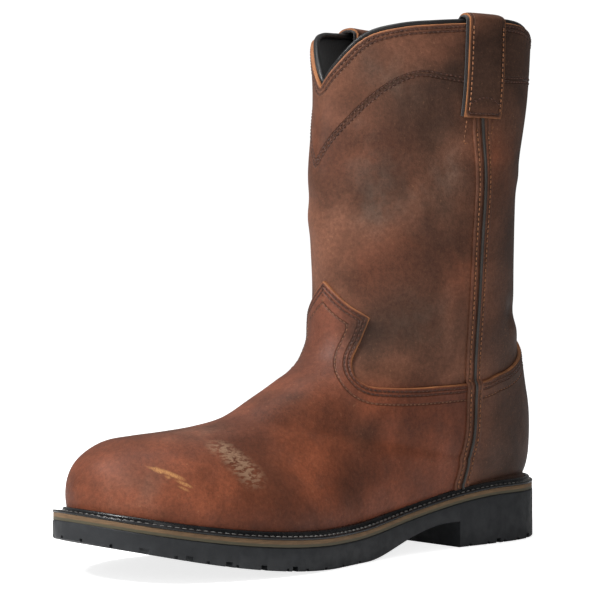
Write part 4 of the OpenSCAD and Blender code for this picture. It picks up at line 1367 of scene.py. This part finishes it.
for side, end in ((LATERAL, "lateral"), (MEDIAL, "medial")):
    backing_out = 0.15 + BACKING_THICK / 2
    strap_out = backing_out + BACKING_THICK / 2 + 0.1 + STRAP_THICK / 2
    backing = strap_ply("strap_backing_" + end, side, backing_out, BACKING_THICK, BACKING_WIDTH,
                        backing_low, backing_tail)
    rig.replaces(lifts(dress(backing, "strap_backing"), end), "strap_backing_" + end)
    strap = strap_ply("pull_strap_" + end, side, strap_out, STRAP_THICK, STRAP_WIDTH,
                      strap_low, strap_tail)
    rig.replaces(lifts(dress(strap, "strap_leather"), end), "pull_strap_" + end)
    face = strap_out + STRAP_THICK / 2 + 0.08
    reach = STRAP_WIDTH / 2 - 1.9
    rows = [strap_thread(side, face, c, c, strap_low + 3, collar - 3) for c in (-reach, reach)]
    lifts(stitching("strap_stitching_" + end, rows, RUST_THREAD, radius=0.38), end)
    bars = [strap_thread(side, face, -reach, reach, strap_low + 7, strap_low + 7, bow=4),
            strap_thread(side, face, -reach, reach, strap_low + 2.2, strap_low + 2.2)]
    lifts(stitching("strap_bar_stitching_" + end, bars, SHAFT_THREAD), end)
    box_z = strap_low - TACK_TALL
    tack = []
    for c in (-1, 1):
        tack.append(strap_thread(side, SHAFT_FACE, c * TACK_HALF, c * TACK_HALF, strap_low - 1, box_z))
    for c in (-1, 1):
        tack.append(strap_thread(side, SHAFT_FACE, c * TACK_HALF, c * TACK_IN, box_z, box_z))
    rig.ride(stitching("strap_tack_stitching_" + end, tack, RUST_THREAD, radius=0.34), "shaft")

# ---------------------------------------------------------------- sole
# Depths under the feather line: thin welt lip and tan edge, both seen at the sole's edge, and the
# floor of the hollow that holds the board, cork and shank
LIP_DEPTH, TAN_DEPTH, ROOM_DEPTH = 1.5, 5.2, 4.6
WELT_INNER = 11.4
heel_breast = heel_back - 82 * long
arch_end = heel_back - 160 * long
ARCH_Z = 14
dense_u = np.linspace(0, PLAN_COUNT, 4000)


def sole_rows(inset, breast_step):
    """y positions close together at the ends, with a double row at the heel breast if asked."""
    outline = plan_point(dense_u, np.full(len(dense_u), inset))
    front, back = outline[:, 1].min(), outline[:, 1].max()
    y = (front + back) / 2 + (back - front) / 2 * np.cos(np.linspace(0.012, math.pi - 0.012, 150))
    if breast_step:
        y = np.sort(np.append(y, [heel_breast - 0.02, heel_breast + 0.02]))[::-1]
    return y, outline


def widths(outline, y):
    """Left and right ends of an outline at each y."""
    left, right = [], []
    a, b = outline[:-1], outline[1:]
    for value in y:
        crosses = (a[:, 1] - value) * (b[:, 1] - value) <= 0
        gap_y = np.where(np.abs(b[:, 1] - a[:, 1]) < 1e-9, 1, b[:, 1] - a[:, 1])
        x = (a[:, 0] + (value - a[:, 1]) / gap_y * (b[:, 0] - a[:, 0]))[crosses]
        left.append(x.min())
        right.append(x.max())
    return np.array(left), np.array(right)


def sole_slab(name, inset, top, bottom, corner=0.5, breast_step=False):
    """Closed slab of the sole between two heights given over y, its long edges rounded."""
    y, outline = sole_rows(inset, breast_step)
    left, right = widths(outline, y)
    turn = np.radians([0, 30, 60, 90])
    rows, band = [], []
    for k, value in enumerate(y):
        high_z, low_z = top(value), bottom(value)
        c = min(corner, (right[k] - left[k]) / 4, (high_z - low_z) / 3)
        ring = []
        corners = ((right[k], high_z, 0), (left[k], high_z, 1), (left[k], low_z, 2), (right[k], low_z, 3))
        for cx, cz, start in corners:
            sx, sz = (1 if start in (0, 3) else -1), (1 if start in (0, 1) else -1)
            for a in (turn if start in (0, 2) else turn[::-1]):
                x = cx - sx * c * (1 - math.cos(a))
                ring.append((x, value, cz - sz * c * (1 - math.sin(a))))
        rows.append(ring)
        band += [(p[2] - low_z) / (high_z - low_z) for p in ring]
    points = np.array(rows).reshape(-1, 3)
    n, m = len(rows), len(rows[0])
    index = np.arange(n * m).reshape(n, m)
    after, over = index[1:], np.roll(index, -1, 1)[:-1]
    both = np.roll(index, -1, 1)[1:]
    faces = np.stack([index[:-1], over, both, after], -1).reshape(-1, 4).tolist()
    faces += [index[0, ::-1].tolist(), index[-1].tolist()]
    return build(name, points, faces, band=band)


def outsole_bottom(y):
    if y > heel_breast:
        return 0.0
    if y > arch_end:
        share = float(smooth((heel_breast - y) / (heel_breast - arch_end) * 1.1 - 0.1))
        return ARCH_Z * (1 - share)
    return float(ground_z(y))


def under(depth):
    return lambda y: float(feather_z(y)) - depth


def block(centre, size, heading, tilt=0.0):
    """Corners and faces of a box turned in the ground plane and tilted along its length."""
    corners = np.array([(x, y, z) for x in (-1, 1) for y in (-1, 1) for z in (-1, 1)]) * np.array(size) / 2
    c, s = math.cos(heading), math.sin(heading)
    corners[:, 2] += corners[:, 1] * tilt
    x, y, z = corners.T
    turned = np.stack([x * c - y * s, x * s + y * c, z], -1)
    faces = [(0, 1, 3, 2), (4, 6, 7, 5), (0, 4, 5, 1), (2, 3, 7, 6), (0, 2, 6, 4), (1, 5, 7, 3)]
    return turned + centre, faces


def cutter(blocks):
    points, faces = [], []
    for corners, sides in blocks:
        faces += [tuple(v + 8 * len(points) for v in f) for f in sides]
        points.append(corners)
    return build("cutter", np.concatenate(points), faces)


def carve(piece, tool):
    modifier = piece.modifiers.new("carve", "BOOLEAN")
    modifier.operation, modifier.solver, modifier.object = "DIFFERENCE", "EXACT", tool
    modifier.use_self = True
    result = bpy.data.meshes.new_from_object(piece.evaluated_get(bpy.context.evaluated_depsgraph_get()))
    piece.modifiers.clear()
    piece.data = result
    bpy.data.objects.remove(tool)
    result.polygons.foreach_set("use_smooth", [True] * len(result.polygons))
    result.set_sharp_from_angle(angle=math.radians(30))
    return piece


outsole = sole_slab("outsole", 0, under(TAN_DEPTH + GAP), outsole_bottom, corner=0.9, breast_step=True)
cuts = []
for u in np.arange(0.25, PLAN_COUNT, 0.42):
    p = spline(PLAN, np.array(u), True)
    if p[1] > heel_breast + 6 or p[1] < flex_y + 40:
        tangent = plan_frame(np.array(u))[0]
        cuts.append(block((*p, float(ground_z(p[1]))), (1.7, 5.5, 3.0), math.atan2(tangent[1], tangent[0])))
for y in [flex_y - (14 + 19 * k) * long for k in range(5)] + [heel_back - 24 * long, heel_back - 52 * long]:
    slope = float(ground_z(y + 2) - ground_z(y - 2)) / 4
    cuts.append(block((0, y, float(ground_z(y))), (150, 3.4, 5), 0, slope))
outsole = dress(carve(outsole, cutter(cuts)), "outsole_rubber")
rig.replaces(bends_at_ball(outsole), "outsole_forepart", "outsole_heel")
midsole = sole_slab("midsole", 0.25, under(LIP_DEPTH + GAP), under(TAN_DEPTH), corner=0.35)
midsole = carve(midsole, sole_slab("room", WELT_INNER, under(-2), under(ROOM_DEPTH), corner=0.05))
corners = np.array([v.co for v in midsole.data.vertices]) / MM
band = (corners[:, 2] - feather_z(corners[:, 1]) + TAN_DEPTH) / (TAN_DEPTH - LIP_DEPTH - GAP)
if "band" not in midsole.data.attributes:
    midsole.data.attributes.new("band", "FLOAT", "POINT")
midsole.data.attributes["band"].data.foreach_set("value", np.clip(band, 0, 1).astype(np.float32))
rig.replaces(bends_at_ball(dress(midsole, "midsole_leather")), "midsole_forepart", "midsole_rear")
board = sole_slab("insole_board", 11.7, under(0.1), under(2.4), corner=0.2)
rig.replaces(bends_at_ball(dress(board, "insole_board")), "insole_board_forepart", "insole_board_rear")
footbed = sole_slab("footbed", 14, under(-4.1), under(-0.1), corner=1.2)
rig.replaces(bends_at_ball(dress(footbed, "footbed_foam")), "footbed")


def cork_rows(y):
    return float(feather_z(y)) - (4.5 if y < flex_y else 2.7)


cork = sole_slab("cork_filler", 11.7, under(2.5), cork_rows, corner=0.05)
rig.replaces(bends_at_ball(dress(cork, "cork")), "cork_filler")

# ---------------------------------------------------------------- welt
CHANNEL = 0.75


def welt_profile(y):
    """(inset from the sole's edge, height over the feather line) round the welt strip."""
    w = float(upper_inset(y)) - PANEL
    rim = [(w - 0.15, 0.2)]
    bead = [(w - 1.35 + 1.2 * math.cos(a), 0.75 + 1.45 * math.sin(a))
            for a in np.radians([10, 45, 75, 100, 130, 160, 185])]
    channel = [(w - 2.65, -CHANNEL * 0.6), (w - 2.85, -CHANNEL), (1.3, -CHANNEL), (1.05, -CHANNEL * 0.4)]
    lip = [(0.85, 0.0), (0.35, -0.05), (0.05, -0.35), (0, -LIP_DEPTH + 0.3), (0.25, -LIP_DEPTH)]
    return [(WELT_INNER, 0)] + rim + bead + channel + lip + [(WELT_INNER, -LIP_DEPTH)]


def welt_sweep():
    u = np.linspace(0, PLAN_COUNT, 520, endpoint=False)
    edge_y = spline(PLAN, u, True)[:, 1]
    profiles = np.array([welt_profile(y) for y in edge_y])
    rings = []
    for k in range(profiles.shape[1]):
        p = plan_point(u, profiles[:, k, 0])
        rings.append(np.stack([p[:, 0], p[:, 1], feather_z(p[:, 1]) + profiles[:, k, 1]], -1))
    rows = np.stack(rings, 1)
    n, m = rows.shape[:2]
    index = np.arange(n * m).reshape(n, m)
    after, over = np.roll(index, -1, 0), np.roll(index, -1, 1)
    both = np.roll(after, -1, 1)
    faces = np.stack([index, after, both, over], -1).reshape(-1, 4).tolist()
    return build("storm_welt", rows.reshape(-1, 3), faces)


welt = dress(welt_sweep(), "welt_rubber")
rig.replaces(bends_at_ball(welt), "storm_welt_forepart", "storm_welt_rear")
welt_u = np.linspace(0, PLAN_COUNT, 900)
welt_y = spline(PLAN, welt_u, True)[:, 1]
inset = (1.3 + upper_inset(welt_y) - PANEL - 2.8) / 2 + 0.05
welt_row = plan_point(welt_u, inset)
welt_row = np.column_stack([welt_row, feather_z(welt_row[:, 1]) - CHANNEL + 0.42])
upright = np.tile((0.0, 0.0, 1.0), (len(welt_row), 1))
welt_stitches = stitching("welt_stitching", [(welt_row, upright)], looks["welt_thread"],
                          pitch=3.7, length=3.1, radius=0.5)
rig.replaces(bends_at_ball(welt_stitches), "welt_stitching_forepart", "welt_stitching_rear")

# ---------------------------------------------------------------- CAD pieces that stay in view
for node, slot in (("steel_toe_cap", "steel"), ("toe_cap_rim", "rim_rubber"), ("steel_shank", "steel")):
    piece = frame["nodes"][node]
    piece.data.materials.clear()
    piece.data.materials.append(looks[slot])
    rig.slot(piece, slot)

# ---------------------------------------------------------------- camera, floor and light
AIM_Y = -110
AZIMUTH, PITCH, REACH = math.radians(48), math.radians(0.42), 1.1
SENSOR, FOCAL_LENGTH = 36, 122.2
SHIFT = (-0.0365, -0.0082)
camera_data = bpy.data.cameras.new("camera")
camera_data.sensor_width = SENSOR
camera_data.lens = FOCAL_LENGTH
camera_data.shift_x, camera_data.shift_y = SHIFT
camera = bpy.data.objects.new("camera", camera_data)
camera.location = (REACH * math.sin(AZIMUTH), AIM_Y * MM - REACH * math.cos(AZIMUTH), 0.1487)
camera.rotation_euler = (math.radians(90) - PITCH, 0, AZIMUTH)
bpy.context.scene.collection.objects.link(camera)
bpy.context.scene.camera = camera


def floor():
    """Pale floor just under the boot; the camera also sees it lit evenly."""
    size = 6
    mesh = bpy.data.meshes.new("floor")
    depth = -0.0002
    corners = [(-size, -size, depth), (size, -size, depth), (size, size, depth), (-size, size, depth)]
    mesh.from_pydata(corners, [], [(0, 1, 2, 3)])
    piece = bpy.data.objects.new("floor", mesh)
    bpy.context.scene.collection.objects.link(piece)
    s = Shader("floor")
    s.set(Base_Color=rgb(0.92, 0.92, 0.92), Roughness=0.8, Specular_IOR_Level=0.1)
    rays = s.tree.nodes.new("ShaderNodeLightPath")
    glow = s.math("MULTIPLY", rays.outputs["Is Camera Ray"], 0.8)
    s.set(Emission_Color=rgb(1, 1, 1), Emission_Strength=glow)
    mesh.materials.append(s.material)
    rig.stage(piece)


def area_light(name, place, aim, size, power):
    data = bpy.data.lights.new(name, "AREA")
    data.shape, data.size, data.energy = "DISK", size, power
    lamp = bpy.data.objects.new(name, data)
    lamp.location = place
    lamp.rotation_euler = (Vector(aim) - Vector(place)).to_track_quat("-Z", "Y").to_euler()
    bpy.context.scene.collection.objects.link(lamp)
    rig.stage(lamp)


floor()
world = bpy.data.worlds.new("studio")
world.use_nodes = True
world.node_tree.nodes["Background"].inputs["Color"].default_value = rgb(1, 1, 1)
rays = world.node_tree.nodes.new("ShaderNodeLightPath")
strength = world.node_tree.nodes.new("ShaderNodeMapRange")
strength.inputs["To Max"].default_value = 1.05
world.node_tree.links.new(rays.outputs["Is Camera Ray"], strength.inputs["Value"])
direction = world.node_tree.nodes.new("ShaderNodeTexCoord")
facing = world.node_tree.nodes.new("ShaderNodeVectorMath")
facing.operation = "DOT_PRODUCT"
facing.inputs[1].default_value = (-0.52, -0.62, 0.58)
world.node_tree.links.new(direction.outputs["Generated"], facing.inputs[0])
glow = world.node_tree.nodes.new("ShaderNodeMapRange")
for name, value in (("From Min", -1), ("From Max", 1), ("To Min", 0.03), ("To Max", 0.40)):
    glow.inputs[name].default_value = value
world.node_tree.links.new(facing.outputs["Value"], glow.inputs["Value"])
world.node_tree.links.new(glow.outputs[0], strength.inputs["To Min"])
world.node_tree.links.new(strength.outputs[0], world.node_tree.nodes["Background"].inputs["Strength"])
bpy.context.scene.world = world
area_light("key", (-0.22, -1.25, 1.25), (0, -0.11, 0.13), 0.45, 19)
area_light("side", (1.3, -0.7, 0.6), (0, -0.15, 0.1), 0.6, 1.6)
area_light("overhead", (-0.1, -0.3, 1.5), (0, -0.1, 0.1), 0.9, 6)
bpy.context.scene.view_settings.view_transform = "Standard"

new_low, new_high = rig.bounds()
with open("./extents.json", "w") as out:
    json.dump([list(cad_low), list(cad_high), list(new_low), list(new_high)], out)
